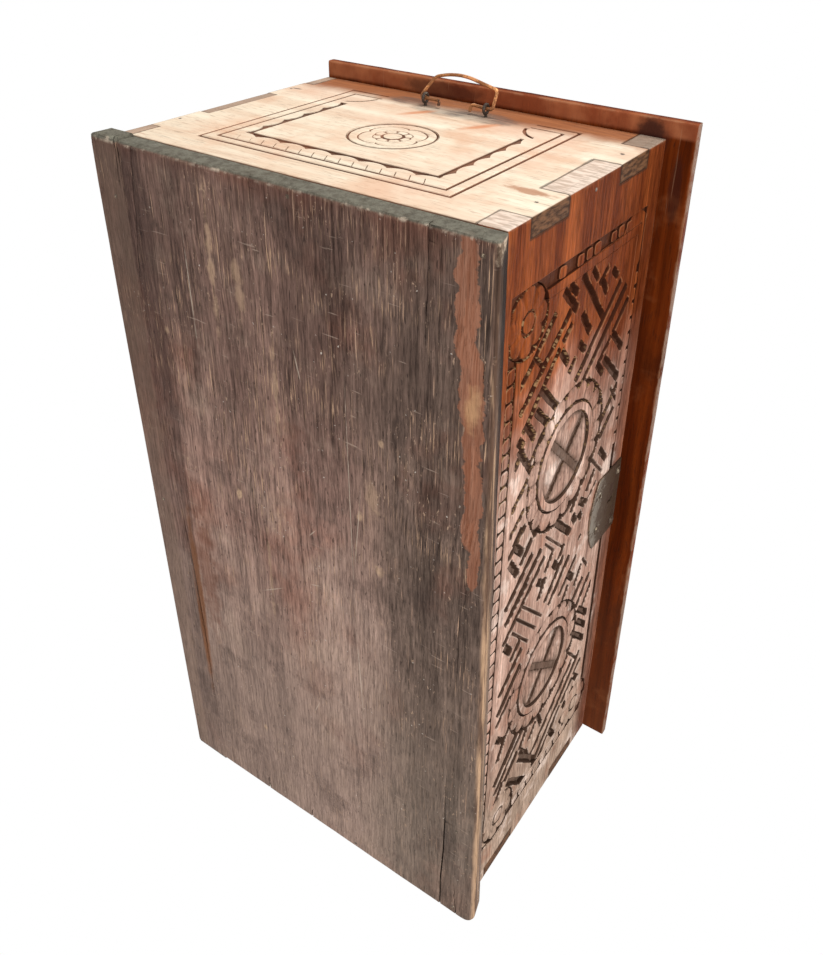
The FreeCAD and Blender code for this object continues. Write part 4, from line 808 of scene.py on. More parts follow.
# Steep walls of the carving go near black, as dirt and painted shade; deeper floors go dark grey-brown, as
# dust and painted shade.
wall = w.times(w.times(w.span(facing, 0.52, 0.95, 1.0, 0.0), w.span(depth, 0.22, 0.6)), in_carving)
low = w.times(w.span(depth, 0.9, 2.2), in_carving)
wall_dirt_and_shade_colour = w.blend(faded_with_sheen, (0.040, 0.013, 0.007), (0.046, 0.025, 0.016))
floor_dust_and_shade_colour = w.blend(faded_with_sheen, (0.080, 0.028, 0.015), (0.125, 0.080, 0.058))
dust_noise = w.noise(place, scale=170.0, detail=4.0, roughness=0.7)
floor_dust_and_shade_colour = w.blend(w.span(dust_noise, 0.42, 0.62), w.blend(0.6, floor_dust_and_shade_colour, wall_dirt_and_shade_colour), floor_dust_and_shade_colour)
surface = w.blend(w.times(low, 0.85), surface, floor_dust_and_shade_colour)
surface = w.blend(w.times(wall, 0.92), surface, wall_dirt_and_shade_colour)
# Where the carving bends away from the face, its rims are lightened: rubbed wear, and a painted highlight.
bend = w.times(w.span(facing, 0.78, 0.97, 1.0, 0.0), w.span(facing, 0.40, 0.75))
rim = w.times(w.times(bend, w.span(depth, 0.6, 1.3, 1.0, 0.0)), in_carving)
rim_wear_and_highlight_colour = w.blend(faded_with_sheen, (0.420, 0.170, 0.080), (0.700, 0.540, 0.440))
surface = w.blend(w.times(rim, 0.55), surface, rim_wear_and_highlight_colour)
tool_marks = w.noise(w.stretch(place, (330.0, 120.0, 330.0)), detail=3.0, roughness=0.5)
# Painted glints: bright dashes on the carving's walls in the left part stand in for the lamp's reflection
# on rippled, varnished walls.
painted_glint_place = w.span(w.plus(x, w.times(wide_noise, 0.1)), -0.13, -0.05, 1.0, 0.0)
painted_glint = w.times(w.times(w.span(tool_marks, 0.50, 0.60), painted_glint_place), w.span(w.less(x, z), -0.32, -0.30))
painted_glint = w.times(w.times(painted_glint, wall), w.times(w.span(depth, 0.5, 0.9), w.span(depth, 2.0, 2.8, 1.0, 0.0)))
surface = w.blend(w.times(painted_glint, 0.5), surface, (0.560, 0.340, 0.160))
surface = rubbed_edges(w, surface, place, "front_panel", 0.0022, 0.4, (0.300, 0.150, 0.085))
end_grain = w.larger(w.span(x, -0.2999, -0.2992, 1.0, 0.0), w.span(x, 0.2992, 0.2999))
end_streaks = w.span(w.noise(w.stretch(place, (1.0, 90.0, 420.0)), detail=3.0), 0.38, 0.62)
end_mottle = w.blend(end_streaks, (0.82, 0.68, 0.57), (0.56, 0.44, 0.35))
end_mottle = w.blend(w.span(z, 0.196, 0.206, 0.0, 0.8), end_mottle, (0.200, 0.140, 0.100))
surface = w.blend(w.times(end_grain, 0.9), surface, end_mottle)
surface = dirty_joints(w, surface, place)
w.feed(shader.inputs["Base Color"], surface)
w.feed(shader.inputs["Roughness"], w.span(faded_with_sheen, 0.0, 1.0, 0.40, 0.66))
relief = w.plus(oiled["Height"], w.times(w.times(tool_marks, wall), 0.8))
raise_surface(w, shader, relief, 0.0006, 0.8)
print("front nodes:", len(front_teak.node_tree.nodes))

# %% [markdown]
# ### The ends: faded and pale
#
# The ends have bleached to a pinkish cream. Under the lid's overhang they kept their orange, which is
# darkened there as painted shade of the lid, and round the pins of the wire handle iron has stained the
# wood grey-black, with rust run down from each pin. Here the grain runs from front to back, so the vector
# is turned a quarter before it goes to the grain group.

# %% End material: bleached wood
end_teak, w, shader, place = new_material("faded_end_teak", 0.55, Specular_IOR_Level=0.015)
x, y, z = w.split(place)
along_y = w.gather(y, w.plus(x, 0.31), z)
grain = w.group(grain_group, Vector=along_y, Pale=(0.820, 0.745, 0.595), Middle=(0.780, 0.675, 0.520),
                Deep=(0.620, 0.420, 0.290), Banding=0.22)
cloud = w.noise(place, scale=16.0, detail=4.0, roughness=0.6)
surface = w.blend(w.span(cloud, 0.46, 0.70, 0.0, 0.65), grain["Color"], (0.640, 0.370, 0.235))
dashes = w.noise(w.stretch(along_y, (75.0, 900.0, 900.0)), detail=2.0, roughness=0.6)
dashed = w.times(w.span(dashes, 0.60, 0.72, 0.0, 0.6), w.span(cloud, 0.40, 0.60, 0.3, 1.0))
surface = w.blend(dashed, surface, (0.400, 0.210, 0.130))
rosy = w.noise(w.shift(place, (2.0, 0.3, 5.0)), scale=7.0, detail=3.0)
surface = w.blend(w.span(rosy, 0.45, 0.70, 0.0, 0.5), surface, (0.720, 0.490, 0.370))
# Under the lid the end keeps its orange, darkened as painted shade of the lid.
shade_line = w.plus(z, w.times(w.less(cloud, 0.5), 0.03))
under_lid = w.span(shade_line, 0.1880, 0.2160)
kept_orange_and_shade = w.blend(w.span(grain["Fibre"], 0.3, 0.7), (0.200, 0.055, 0.016), (0.330, 0.108, 0.034))
surface = w.blend(w.times(under_lid, 0.93), surface, kept_orange_and_shade)

# %% End material: iron, rust, and dirt with painted shade in the cut lines
IRON_STAINS = (  # y, z, half width, half height, strength
    (-0.021, 0.2015, 0.037, 0.017, 0.92), (0.046, 0.2085, 0.027, 0.0125, 0.88),
    (0.012, 0.1960, 0.030, 0.012, 0.60),
)
streaks = w.noise(w.stretch(along_y, (38.0, 420.0, 420.0)), detail=4.0, roughness=0.65)
for stain_y, stain_z, wide, high, amount in IRON_STAINS:
    surface = stained(w, surface, place, (-0.3, stain_y, stain_z), (0.05, wide, high), 0.55, 0.45,
                      w.span(streaks, 0.30, 0.62, amount, amount * 0.45), (0.105, 0.082, 0.072))
RUST_RUNS = ((-0.034, 0.179), (0.024, 0.183))
for run_y, run_z in RUST_RUNS:
    slanted = w.gather(x, w.plus(y, w.times(w.less(run_z, z), -0.55)), z)
    surface = stained(w, surface, slanted, (-0.3, run_y, run_z), (0.05, 0.0065, 0.021), 0.6, 0.85, 0.75,
                      (0.560, 0.200, 0.085))
surface = stained(w, surface, place, (-0.3, -0.130, 0.0775), (0.03, 0.020, 0.0050), 2.6, 0.6, 0.8,
                  (0.400, 0.190, 0.105))
for mark_y, mark_z, wide in ((-0.143, 0.180, 0.0018), (-0.142, 0.126, 0.005), (0.143, 0.184, 0.006)):
    surface = stained(w, surface, place, (-0.3, mark_y, mark_z), (0.02, wide, 0.0022), 0.5, 0.5, 0.75,
                      (0.13, 0.10, 0.09))
# Everything cut more than about a third of a millimetre into the end face is darkened: dirt, and painted
# shade that makes the lines read wide and dark.
sunk = w.times(w.less(0.3, w.maths("ABSOLUTE", x)), 1000.0)
line_dirt_and_shade = w.times(w.span(sunk, 0.36, 0.70), w.span(sunk, 3.0, 4.0, 1.0, 0.0))
line_dirt_and_shade_colour = w.blend(w.span(cloud, 0.40, 0.60), (0.115, 0.042, 0.022), (0.220, 0.085, 0.045))
surface = w.blend(w.times(line_dirt_and_shade, 0.90), surface, line_dirt_and_shade_colour)
inner = w.span(sunk, 11.0, 12.0)
surface = w.blend(w.times(inner, 0.75), surface, (0.300, 0.165, 0.095))
as_left_end = w.gather(w.times(w.maths("ABSOLUTE", x), -1.0), y, z)
surface = rubbed_edges(w, surface, as_left_end, "left_end_panel", 0.0018, 0.45, (0.300, 0.185, 0.120))
flaws = w.noise(w.gather(w.times(y, 40.0), x, w.times(z, 260.0)), detail=3.0)
surface = w.blend(w.span(flaws, 0.66, 0.74, 0.0, 0.55), surface, (0.440, 0.250, 0.165))
finger_end = w.larger(w.span(y, -0.1519, -0.1513, 1.0, 0.0), w.span(y, 0.1513, 0.1519))
finger_mottle = w.noise(w.stretch(place, (420.0, 1.0, 120.0)), detail=4.0, roughness=0.6)
finger_colour = w.blend(w.span(finger_mottle, 0.36, 0.64), (0.046, 0.022, 0.012), (0.165, 0.078, 0.038))
surface = w.blend(finger_end, surface, finger_colour)
surface = dirty_joints(w, surface, place)
w.feed(shader.inputs["Base Color"], surface)
w.feed(shader.inputs["Roughness"], w.span(grain["Fibre"], 0.3, 0.7, 0.42, 0.58))
raise_surface(w, shader, grain["Height"], 0.0004, 0.55)
print("end nodes:", len(end_teak.node_tree.nodes))

# %% [markdown]
# ### The lid and the back
#
# The lid is the reddest board. Its underside is seen past the front, deep brown with darker stains, and
# its thin edges are rubbed pale; its front edge is paler again in patches, as dust and painted highlight.
# The back was turned to the wall, and is plain brown and dry.

# %% Lid material
lid_teak, w, shader, place = new_material("waxed_lid_teak", 0.45, Specular_IOR_Level=0.006)
x, y, z = w.split(place)
grain = w.group(grain_group, Vector=w.shift(place, (0.4, 0.9, 0.2)), Pale=(0.190, 0.037, 0.006),
                Middle=(0.115, 0.017, 0.003), Deep=(0.048, 0.008, 0.002), Banding=0.15)
cloud = w.noise(place, scale=10.0, detail=5.0, roughness=0.65)
surface = w.blend(w.span(cloud, 0.48, 0.72, 0.0, 0.8), grain["Color"], (0.045, 0.009, 0.003))
lighter = w.noise(w.shift(place, (1.3, 4.0, 2.0)), scale=20.0, detail=4.0, roughness=0.6)
surface = w.blend(w.span(lighter, 0.55, 0.74, 0.0, 0.45), surface, (0.300, 0.100, 0.036))
dry_right = w.span(w.plus(x, w.times(cloud, 0.3)), 0.15, 0.50, 0.0, 0.25)
surface = w.blend(dry_right, surface, (0.195, 0.088, 0.048))
past_end = w.times(w.span(x, -0.3035, -0.3000, 0.85, 0.0), w.span(z, 0.2336, 0.2380, 1.0, 0.0))
past_colour = w.blend(w.span(lighter, 0.36, 0.62), (0.240, 0.062, 0.026), (0.400, 0.140, 0.062))
surface = w.blend(past_end, surface, past_colour)
LID_STAINS = (  # x, y, half length, half width, strength
    (-0.300, -0.140, 0.016, 0.016, 0.85), (-0.306, 0.035, 0.008, 0.045, 0.6),
    (-0.265, -0.163, 0.030, 0.006, 0.5),
)
for stain_x, stain_y, long, wide, amount in LID_STAINS:
    surface = stained(w, surface, place, (stain_x, stain_y, 0.2333), (long, wide, 0.004),
                      0.9, 0.5, amount, (0.030, 0.012, 0.010))
surface = rubbed_edges(w, surface, place, "lid_board", 0.0016, 0.55, (0.360, 0.190, 0.105))
# Along the lid's front edge the wood is lightened in patches: dust, and a painted highlight.
grey_patches = w.span(w.noise(place, scale=55.0, detail=4.0), 0.40, 0.58)
pale_edge_dust_and_highlight = w.times(w.span(y, -0.1733, -0.1728, 1.0, 0.0), grey_patches)
surface = w.blend(w.times(pale_edge_dust_and_highlight, 0.5), surface, (0.340, 0.250, 0.190))
scratch = w.group(scratch_group, Vector=w.stretch(place, (14.0, 480.0, 100.0)), Amount=0.06)
surface = w.blend(w.times(scratch["Mask"], 0.35), surface, (0.360, 0.190, 0.110))
w.feed(shader.inputs["Base Color"], surface)
w.feed(shader.inputs["Roughness"], w.span(cloud, 0.3, 0.7, 0.32, 0.50))
raise_surface(w, shader, grain["Height"], 0.0004, 0.6)

# %% Back material
back_teak, w, shader, place = new_material("dry_back_teak", 0.65, Specular_IOR_Level=0.12)
x, y, z = w.split(place)
grain = w.group(grain_group, Vector=w.shift(place, (0.0, 0.5, 0.8)), Pale=(0.380, 0.225, 0.140),
                Middle=(0.300, 0.165, 0.098), Deep=(0.170, 0.085, 0.050), Banding=0.20)
cloud = w.noise(place, scale=9.0, detail=5.0, roughness=0.6)
surface = w.blend(w.span(cloud, 0.45, 0.75, 0.0, 0.6), grain["Color"], (0.205, 0.120, 0.082))
bleached = w.larger(w.span(x, -0.2999, -0.2990, 1.0, 0.0), w.span(x, 0.2990, 0.2999))
bleached_colour = w.blend(w.span(cloud, 0.4, 0.6), (0.520, 0.370, 0.270), (0.350, 0.250, 0.185))
surface = w.blend(w.times(bleached, 0.85), surface, bleached_colour)
surface = rubbed_edges(w, surface, place, "back_panel", 0.0020, 0.6, (0.260, 0.170, 0.110))
scratch = w.group(scratch_group, Vector=w.stretch(place, (15.0, 120.0, 500.0)), Amount=0.07)
surface = w.blend(w.times(scratch["Mask"], 0.5), surface, (0.480, 0.330, 0.220))
surface = dirty_joints(w, surface, place)
w.feed(shader.inputs["Base Color"], surface)
raise_surface(w, shader, grain["Height"], 0.0005, 0.7)
print("wood finishes:", [m.name for m in (underside, front_teak, end_teak, lid_teak, back_teak)])

# %% [markdown]
# ### Iron and copper
#
# Three irons are told apart by their wear. The lock's sheet is brown with a dull skin, the nails are
# rusty with bright rubbed crowns, and the wire of the pins has gone plain grey. The handles are copper
# wire, kept semi-bright by hands on the bend and darker near the hooks. Metal is mixed from rust and clean
# metal by a mask that drives colour, metallic and roughness together, so that rust never shines.

# %% Metal group
metal_group, w, given, result = new_group(
    "worn_metal",
    {"Vector": "vector", "Clean": "colour", "Dull": "colour", "Rust": "colour", "Wear": "value",
     "Size": "value"},
    {"Color": "colour", "Metallic": "value", "Roughness": "value", "Height": "value"},
)
broad = w.noise(given["Vector"], scale=given["Size"], detail=5.0, roughness=0.62)
fine = w.noise(given["Vector"], scale=w.times(given["Size"], 7.0), detail=3.0, roughness=0.6)
mixed = w.plus(w.times(broad, 0.7), w.times(fine, 0.3))
clean = w.span(mixed, w.less(0.62, given["Wear"]), w.less(0.72, given["Wear"]))
rust = w.span(mixed, w.less(0.50, given["Wear"]), w.less(0.40, given["Wear"]))
skin = w.blend(clean, given["Dull"], given["Clean"])
result("Color", w.blend(rust, skin, given["Rust"]))
shining = w.span(clean, 0.0, 1.0, 0.35, 0.95)
result("Metallic", w.maths("SUBTRACT", shining, w.times(rust, 0.5), clamp=True))
result("Roughness", w.plus(w.span(clean, 0.0, 1.0, 0.52, 0.32), w.times(rust, 0.3)))
result("Height", mixed)

# %% Three irons and copper
def metal(name, clean, dull, rust, wear, size, bump, more_wear_and_shade=None):
    """A worn metal: clean, dull and rusty colours, how much wear shows, the size of patches, and bumps.

    more_wear_and_shade: an axis, the places where extra wear starts and is full, and how much it is.
    On the lock plate it leaves the top under the lid dull and dark: wear, and painted shade of the lid.
    """
    material, w, shader, place = new_material(name, 0.45, Specular_IOR_Level=0.25)
    if more_wear_and_shade:
        axis, start, full, extra = more_wear_and_shade
        reached = w.maths("ABSOLUTE", w.split(place)[axis])
        wear = w.plus(w.span(reached, start, full, 0.0, extra), wear)
    mix = w.group(metal_group, Vector=place, Clean=clean, Dull=dull, Rust=rust, Wear=wear, Size=size)
    w.feed(shader.inputs["Base Color"], mix["Color"])
    w.feed(shader.inputs["Metallic"], mix["Metallic"])
    w.feed(shader.inputs["Roughness"], mix["Roughness"])
    raise_surface(w, shader, mix["Height"], bump, 0.7)
    return material


# The lock plate's extra wear grows downwards, so its top under the lid stays dull and dark: wear, and
# painted shade of the lid.
sheet_iron = metal("brown_sheet_iron", (0.300, 0.250, 0.190), (0.070, 0.042, 0.025),
                   (0.040, 0.018, 0.010), -0.02, 90.0, 0.0006, (2, 0.216, 0.186, 0.22))
nail_iron = metal("rusty_nail_iron", (0.560, 0.450, 0.310), (0.085, 0.056, 0.038), (0.050, 0.023, 0.014),
                  0.10, 260.0, 0.0004)
wire_iron = metal("grey_wire_iron", (0.340, 0.280, 0.210), (0.050, 0.036, 0.027), (0.030, 0.017, 0.011),
                  0.05, 260.0, 0.0003)
copper = metal("handled_copper", (0.700, 0.310, 0.125), (0.260, 0.105, 0.040), (0.050, 0.024, 0.014),
               -0.04, 120.0, 0.0002, (0, 0.3055, 0.3110, 0.20))
FINISHES = {
    "teak_base": underside, "teak_front": front_teak, "teak_ends": end_teak, "teak_back": back_teak,
    "teak_lid": lid_teak, "sheet_iron": sheet_iron, "wrought_iron": nail_iron, "iron_wire": wire_iron,
    "copper_wire": copper,
}
print("finishes:", len(FINISHES))

# %% Give every solid its finish
def finish_piece(piece, slot_name):
    """The piece takes the material of a slot of the record."""
    piece.data.materials.clear()
    piece.data.materials.append(FINISHES[slot_name])
    return piece


for entry in frame["record"]["subparts"]:
    solid = NODES[entry["node"]]
    solid.data.materials.clear()
    solid.data.materials.append(FINISHES[entry["material_slot"]])

# %% [markdown]
# ## Places on the front
#
# The front is measured as a carver would: in millimetres, from the chest's left end and its underside.
# The solid's own frame has its middle at the middle of the chest, so the left end is taken off each time.

# %% Places on the front
FACE = -152.0          # the front's face, along Y
FIELD_FLOOR = -147.0   # the bottom of the sunk field
CARVING_BACK = FIELD_FLOOR + 0.4          # where a carved piece is closed behind, inside the board
LEFT_END = -300.0      # where the measuring along the front starts
FIELD = (61.2, 43.2, 538.8, 202.6)        # left, low, right, high
WHEELS = ((204.75, 122.0), (416.25, 122.0))
ROSES = ((67.2, 48.0), (538.0, 60.0), (534.0, 199.0))
ROSE_REACH = 24.6      # a rose with the hollow round it
PEG_HOLE = (308.0, 165.0, 2.6)            # a lost peg: place and radius
print("field of the fret:", FIELD[2] - FIELD[0], "by", FIELD[3] - FIELD[1], "mm")

# %% [markdown]
# ## Boards with a hundred years on them
#
# The solid boards are flat and sharp. Old ones aren't: every edge that a hand or floor can reach is
# rounded, and no edge stays quite straight. A bevel modifier would also bevel the rims of the nail bores,
# and the smallest of those would then hold every other bevel back. So the edges are picked by place,
# bevelled in edit mode, and cut across every few millimetres, so that there are points which can be pushed
# inwards unevenly. They only ever go inwards, because wear takes wood away.

# %% Bevels, and cuts across a board
def bevel_edges(piece, wanted, width, segments=2):
    """Bevel the edges that pass the test, by a width in millimetres."""
    found = pick_edges(piece, wanted)
    if found:
        bpy.ops.mesh.bevel(offset=width * MM, offset_type="OFFSET", segments=segments,
                           profile=0.5, affect="EDGES", clamp_overlap=False)
    close_mesh()
    return found


def cut_across(piece, axis, start, stop, step):
    """Cut the piece by planes across one axis, every step millimetres."""
    count = 0
    place = start
    while place < stop:
        point, normal = [0.0, 0.0, 0.0], [0.0, 0.0, 0.0]
        point[axis], normal[axis] = place * MM, 1.0
        open_mesh(piece, whole=True)
        bpy.ops.mesh.bisect(plane_co=point, plane_no=normal, threshold=1e-7)
        close_mesh()
        place += step
        count += 1
    return count

# %% Wear along the edges
BOARD_BEND = 32        # a board is shaded smooth across edges that bend less than this, in degrees


def wear_edges(piece, box, reach, amount, seed):
    """Push the points near a board's edges inwards, by up to an amount, unevenly along the board."""
    low, high = (np.array(corner) / MM for corner in box)
    points = read_points(piece)
    from_low, from_high = points - low, high - points
    nearest = np.minimum(from_low, from_high)
    second = np.sort(nearest, axis=1)[:, 1]
    near = np.clip(1 - second / reach, 0, 1)
    along = points[:, 0] + 0.7 * points[:, 1] + 0.9 * points[:, 2]
    rough = 0.5 + 0.5 * ripple(along, seed, 83.0) * 0.5 + 0.25 * ripple(along, seed + 1, 19.0)
    shift = near * np.clip(rough, 0, 1) * amount
    for axis in range(3):
        close_by = nearest[:, axis] < reach
        way = np.where(from_low[:, axis] < from_high[:, axis], 1.0, -1.0)
        points[:, axis] += np.where(close_by, shift * way, 0.0)
    write_points(piece, points)


def line_edges(piece, node, reach):
    """Cut the piece just inside each of its edges, so that wear there leaves the broad faces flat."""
    for axis, (low, high) in enumerate(zip(*(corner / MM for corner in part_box(node)))):
        cut_across(piece, axis, low + reach, high, high - low - 2 * reach - 0.001)


def dress_board(piece, node, slot_name, body, reach, amount, seed):
    """Wear the board's edges, shade and finish it, and let it stand in for its solid."""
    wear_edges(piece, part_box(node), reach, amount, seed)
    smooth(piece, BOARD_BEND)
    apply_modifier(piece, "WEIGHTED_NORMAL", keep_sharp=True)
    finish_piece(piece, slot_name)
    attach(piece, body)
    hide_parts(node)

# %% Shapes to cut with
def cut_away(piece, cutters):
    """Subtract a list of closed shapes from the piece, all at once, and delete them."""
    cutter = join(cutters, "cutter")
    apply_modifier(piece, "BOOLEAN", operation="DIFFERENCE", object=cutter, solver="EXACT", use_self=True)
    bpy.data.objects.remove(cutter, do_unlink=True)
    return piece


def block(low, high):
    """A plain box between two corners, in millimetres, to cut with or to shape further."""
    nothing_selected()
    middle = [(a + b) / 2 * MM for a, b in zip(low, high)]
    bpy.ops.mesh.primitive_cube_add(size=1.0, location=middle,
                                    scale=[(b - a) * MM for a, b in zip(low, high)])
    return settle(bpy.context.object)


def rod(x, y, z, radius, half_length, axis="Y"):
    """A closed round bar through a place along one axis, in millimetres, to cut with."""
    turns = {"X": (0, math.radians(90), 0), "Y": (math.radians(90), 0, 0), "Z": (0, 0, 0)}
    nothing_selected()
    bpy.ops.mesh.primitive_cylinder_add(vertices=64, radius=radius * MM, depth=2 * half_length * MM,
                                        location=(x * MM, y * MM, z * MM), rotation=turns[axis])
    return settle(bpy.context.object)

# %% [markdown]
# ### Cracks
#
# Wood splits from the end of a board, along its grain, and the split narrows as it runs in. A crack is
# made as a wedge: a box is cut across a few times, its points are set a little off the line, and the far
# end is squeezed almost shut. All the wedges of a board are subtracted together.

# %% Crack cutter
def crack(from_x, from_y, to_x, to_y, width, deep, seed):
    """A wedge for a crack in the underside, widest at its first end, in millimetres."""
    length = math.hypot(to_x - from_x, to_y - from_y)
    wedge = block((0.0, -width / 2, -1.0), (length, width / 2, deep))
    cut_across(wedge, 0, length / 9, length * 0.99, length / 9)
    points = read_points(wedge)
    share = points[:, 0] / length
    points[:, 1] *= np.where(share > 0.6, 1 - 0.92 * (share - 0.6) / 0.4, 1.0)
    points[:, 1] += 0.9 * ripple(points[:, 0], seed, length / 1.4)
    points[:, 2] = np.where(points[:, 2] > 0, points[:, 2] * (1 - 0.7 * share), points[:, 2])
    direction = np.array([to_x - from_x, to_y - from_y]) / length
    across, aside = points[:, 0].copy(), points[:, 1].copy()
    points[:, 0] = from_x + across * direction[0] - aside * direction[1]
    points[:, 1] = from_y + across * direction[1] + aside * direction[0]
    write_points(wedge, points)
    return wedge

# %% Base board
def left_end_edge(least):
    """A test for the sharp edges at the left end that run further than this from front to back."""
    return lambda a, b, angle: angle > 60 and a[0] < -299 and b[0] < -299 and abs(a[1] - b[1]) > least


base = copy_of_node("base_board", "base_worn")
bevel_edges(base, left_end_edge(20), width=2.2, segments=3)
cut_away(base, [
    crack(301.0, -134.0, 128.0, -136.5, 1.5, 7.0, 1), crack(-301.0, -112.5, -205.0, -111.0, 0.7, 4.0, 2),
    crack(-299.0, 124.0, -190.0, 136.0, 1.1, 5.0, 3), crack(301.0, -150.0, 262.0, -147.0, 1.0, 5.0, 4),
    crack(301.0, 58.0, 278.0, 56.5, 1.6, 4.0, 5), crack(-60.0, -3.0, 60.0, -6.0, 0.35, 1.2, 6),
    crack(-301.0, 20.0, -262.0, 17.0, 0.5, 3.0, 7), crack(120.0, -55.0, 215.0, -58.0, 0.3, 1.0, 8),
    crack(301.0, 6.0, 285.0, 4.0, 1.2, 3.0, 9), crack(-40.0, -142.0, 40.0, -141.0, 0.5, 1.5, 10),
])
cuts = cut_across(base, 0, -292.0, 296.0, 14.0) + cut_across(base, 1, -148.0, 136.0, 14.0)
dress_board(base, "base_board", "teak_base", "case", reach=3.0, amount=0.9, seed=21)
print("base board: cuts", cuts, "faces", len(base.data.polygons))

# %% Strip at the back of the base
strip = copy_of_node("base_back_strip", "strip_worn")
bevel_edges(strip, left_end_edge(8), width=2.0, segments=3)
cut_away(strip, [
    crack(-303.0, 140.5, -262.0, 141.0, 1.2, 6.0, 12), crack(301.0, 150.0, 268.0, 148.0, 0.9, 4.0, 13),
])
cut_across(strip, 0, -294.0, 296.0, 14.0)
dress_board(strip, "base_back_strip", "teak_base", "case", reach=3.0, amount=0.9, seed=22)
print("strip faces:", len(strip.data.polygons))

# %% [markdown]
# ### Finger joints, back, and lid
#
# At each corner the boards lock with square fingers. What the eye sees there is the line between them: a
# dark gap, wider where an edge has crumbled. Bevelling the fingers' own edges opens that line.

# %% Back board
back = copy_of_node("back_panel", "back_worn")
bevel_edges(back, lambda a, b, angle: angle > 60 and (a - b).length > 6.0, width=0.5)
cut_across(back, 0, -286.0, 296.0, 16.0)
line_edges(back, "back_panel", 2.1)
dress_board(back, "back_panel", "teak_back", "case", reach=2.0, amount=0.6, seed=23)
print("back faces:", len(back.data.polygons))

# %% Lid
lid = copy_of_node("lid_board", "lid_worn")
bevel_edges(lid, lambda a, b, angle: angle > 60 and (a - b).length > 15.0, width=0.9)
cut_across(lid, 0, -306.0, 296.0, 14.0)
cut_across(lid, 1, -166.0, 148.0, 14.0)
line_edges(lid, "lid_board", 2.3)
dress_board(lid, "lid_board", "teak_lid", "lid", reach=2.2, amount=0.7, seed=24)
print("lid faces:", len(lid.data.polygons))

# %% Front board, with its field opened
def front_rim(a, b, angle):
    """The sharp edges of the front board's rim, with its fingers."""
    at_side = min(a[0], b[0]) < -286 or max(a[0], b[0]) > 286
    at_top_or_foot = max(a[2], b[2]) > 233 or min(a[2], b[2]) < 16.5
    return angle > 60 and (a - b).length > 6.0 and (at_side or at_top_or_foot)


def carved_rim(a, b, angle):
    """The edges of the carving in the old face, apart from those near the lock plate."""
    in_face = max(a[1], b[1]) < FACE + 0.01 and max(abs(a[0]), abs(b[0])) < 260
    at_lock = abs(a[0]) < 48 and a[2] > 170
    return angle > 50 and (a - b).length > 9 and in_face and not at_lock


front = copy_of_node("front_panel", "front_worn")
bevel_edges(front, front_rim, width=0.45)
field_box = block((FIELD[0] + LEFT_END - 0.3, -153.0, FIELD[1] - 0.3),
                  (FIELD[2] + LEFT_END + 0.3, FIELD_FLOOR + 0.2, FIELD[3] + 0.3))
rose_holes = [rod(x + LEFT_END, FACE, z, ROSE_REACH + 0.05, 4.8) for x, z in ROSES]
under_rose = block((ROSES[1][0] + LEFT_END - 24, FACE - 1, 25.0), (257.0, FACE + 2.2, 36.0))
cut_away(front, [field_box] + rose_holes + [under_rose])
bevel_edges(front, carved_rim, width=0.5)
cut_across(front, 0, -292.0, 296.0, 16.0)
line_edges(front, "front_panel", 1.7)
dress_board(front, "front_panel", "teak_front", "case", reach=1.6, amount=0.45, seed=25)
print("front faces:", len(front.data.polygons))

# %% [markdown]
# ## The carved front: its key fret
#
# The front is covered by a fret: straight slanting grooves that turn into short square hooks. A carver
# lays it out at about forty-five degrees, cuts straight down along each line and clears the wood between
# with a flat gouge, about five millimetres deep. What stays at the old face are the bars.
#
# A hundred slots could be cut from a plate with boolean cutters, but where so many cross, slivers are left
# that no bevel can round. Bars could be laid on instead, but then the wide plain places would show joints.
# So the fret is cut as the carver cuts it. A fine grid, turned to lie along the bars, is pushed back
# stroke by stroke, and every crossing stays sound. Each stroke is given by its two ends and its width.
#
# Places on the front are given in millimetres from the chest's left end and from its underside.

# %% The strokes of the fret
LONG_FALLING = [  # x, z of the upper end, x, z of the lower end, width
    (76, 83, 112, 41, 4.6), (82, 104, 130, 46, 5.2), (105, 93, 146, 52, 5.0), (89, 183, 142, 124, 5.4),
    (97, 194, 150, 135, 6.0), (110, 201, 128, 181, 5.2), (132, 177, 145, 160, 4.6),
    (183, 202, 204, 179, 5.2), (203, 200, 220, 181, 5.0), (272, 94, 308, 48, 6.2),
    (266, 80, 293, 46, 6.0), (284, 101, 327, 47, 5.4), (309, 48, 291, 76, 5.0),
    (316, 147, 344, 119, 6.2), (308, 136, 335, 111, 6.0), (326, 162, 349, 137, 5.0),
    (364, 181, 380, 163, 6.0), (370, 196, 399, 169, 6.2), (357, 76, 380, 46, 6.2),
    (374, 76, 401, 46, 6.0), (398, 64, 413, 45, 4.6), (464, 196, 536, 119, 6.6),
    (462, 181, 521, 109, 6.4), (454, 86, 488, 50, 8.6), (464, 92, 500, 51, 5.2),
    (190, 63, 205, 44, 5.0), (214, 61, 226, 44, 4.6), (230, 65, 245, 45, 5.2), (158, 84, 178, 64, 4.2),
    (152, 148, 160, 139, 4.4),
]
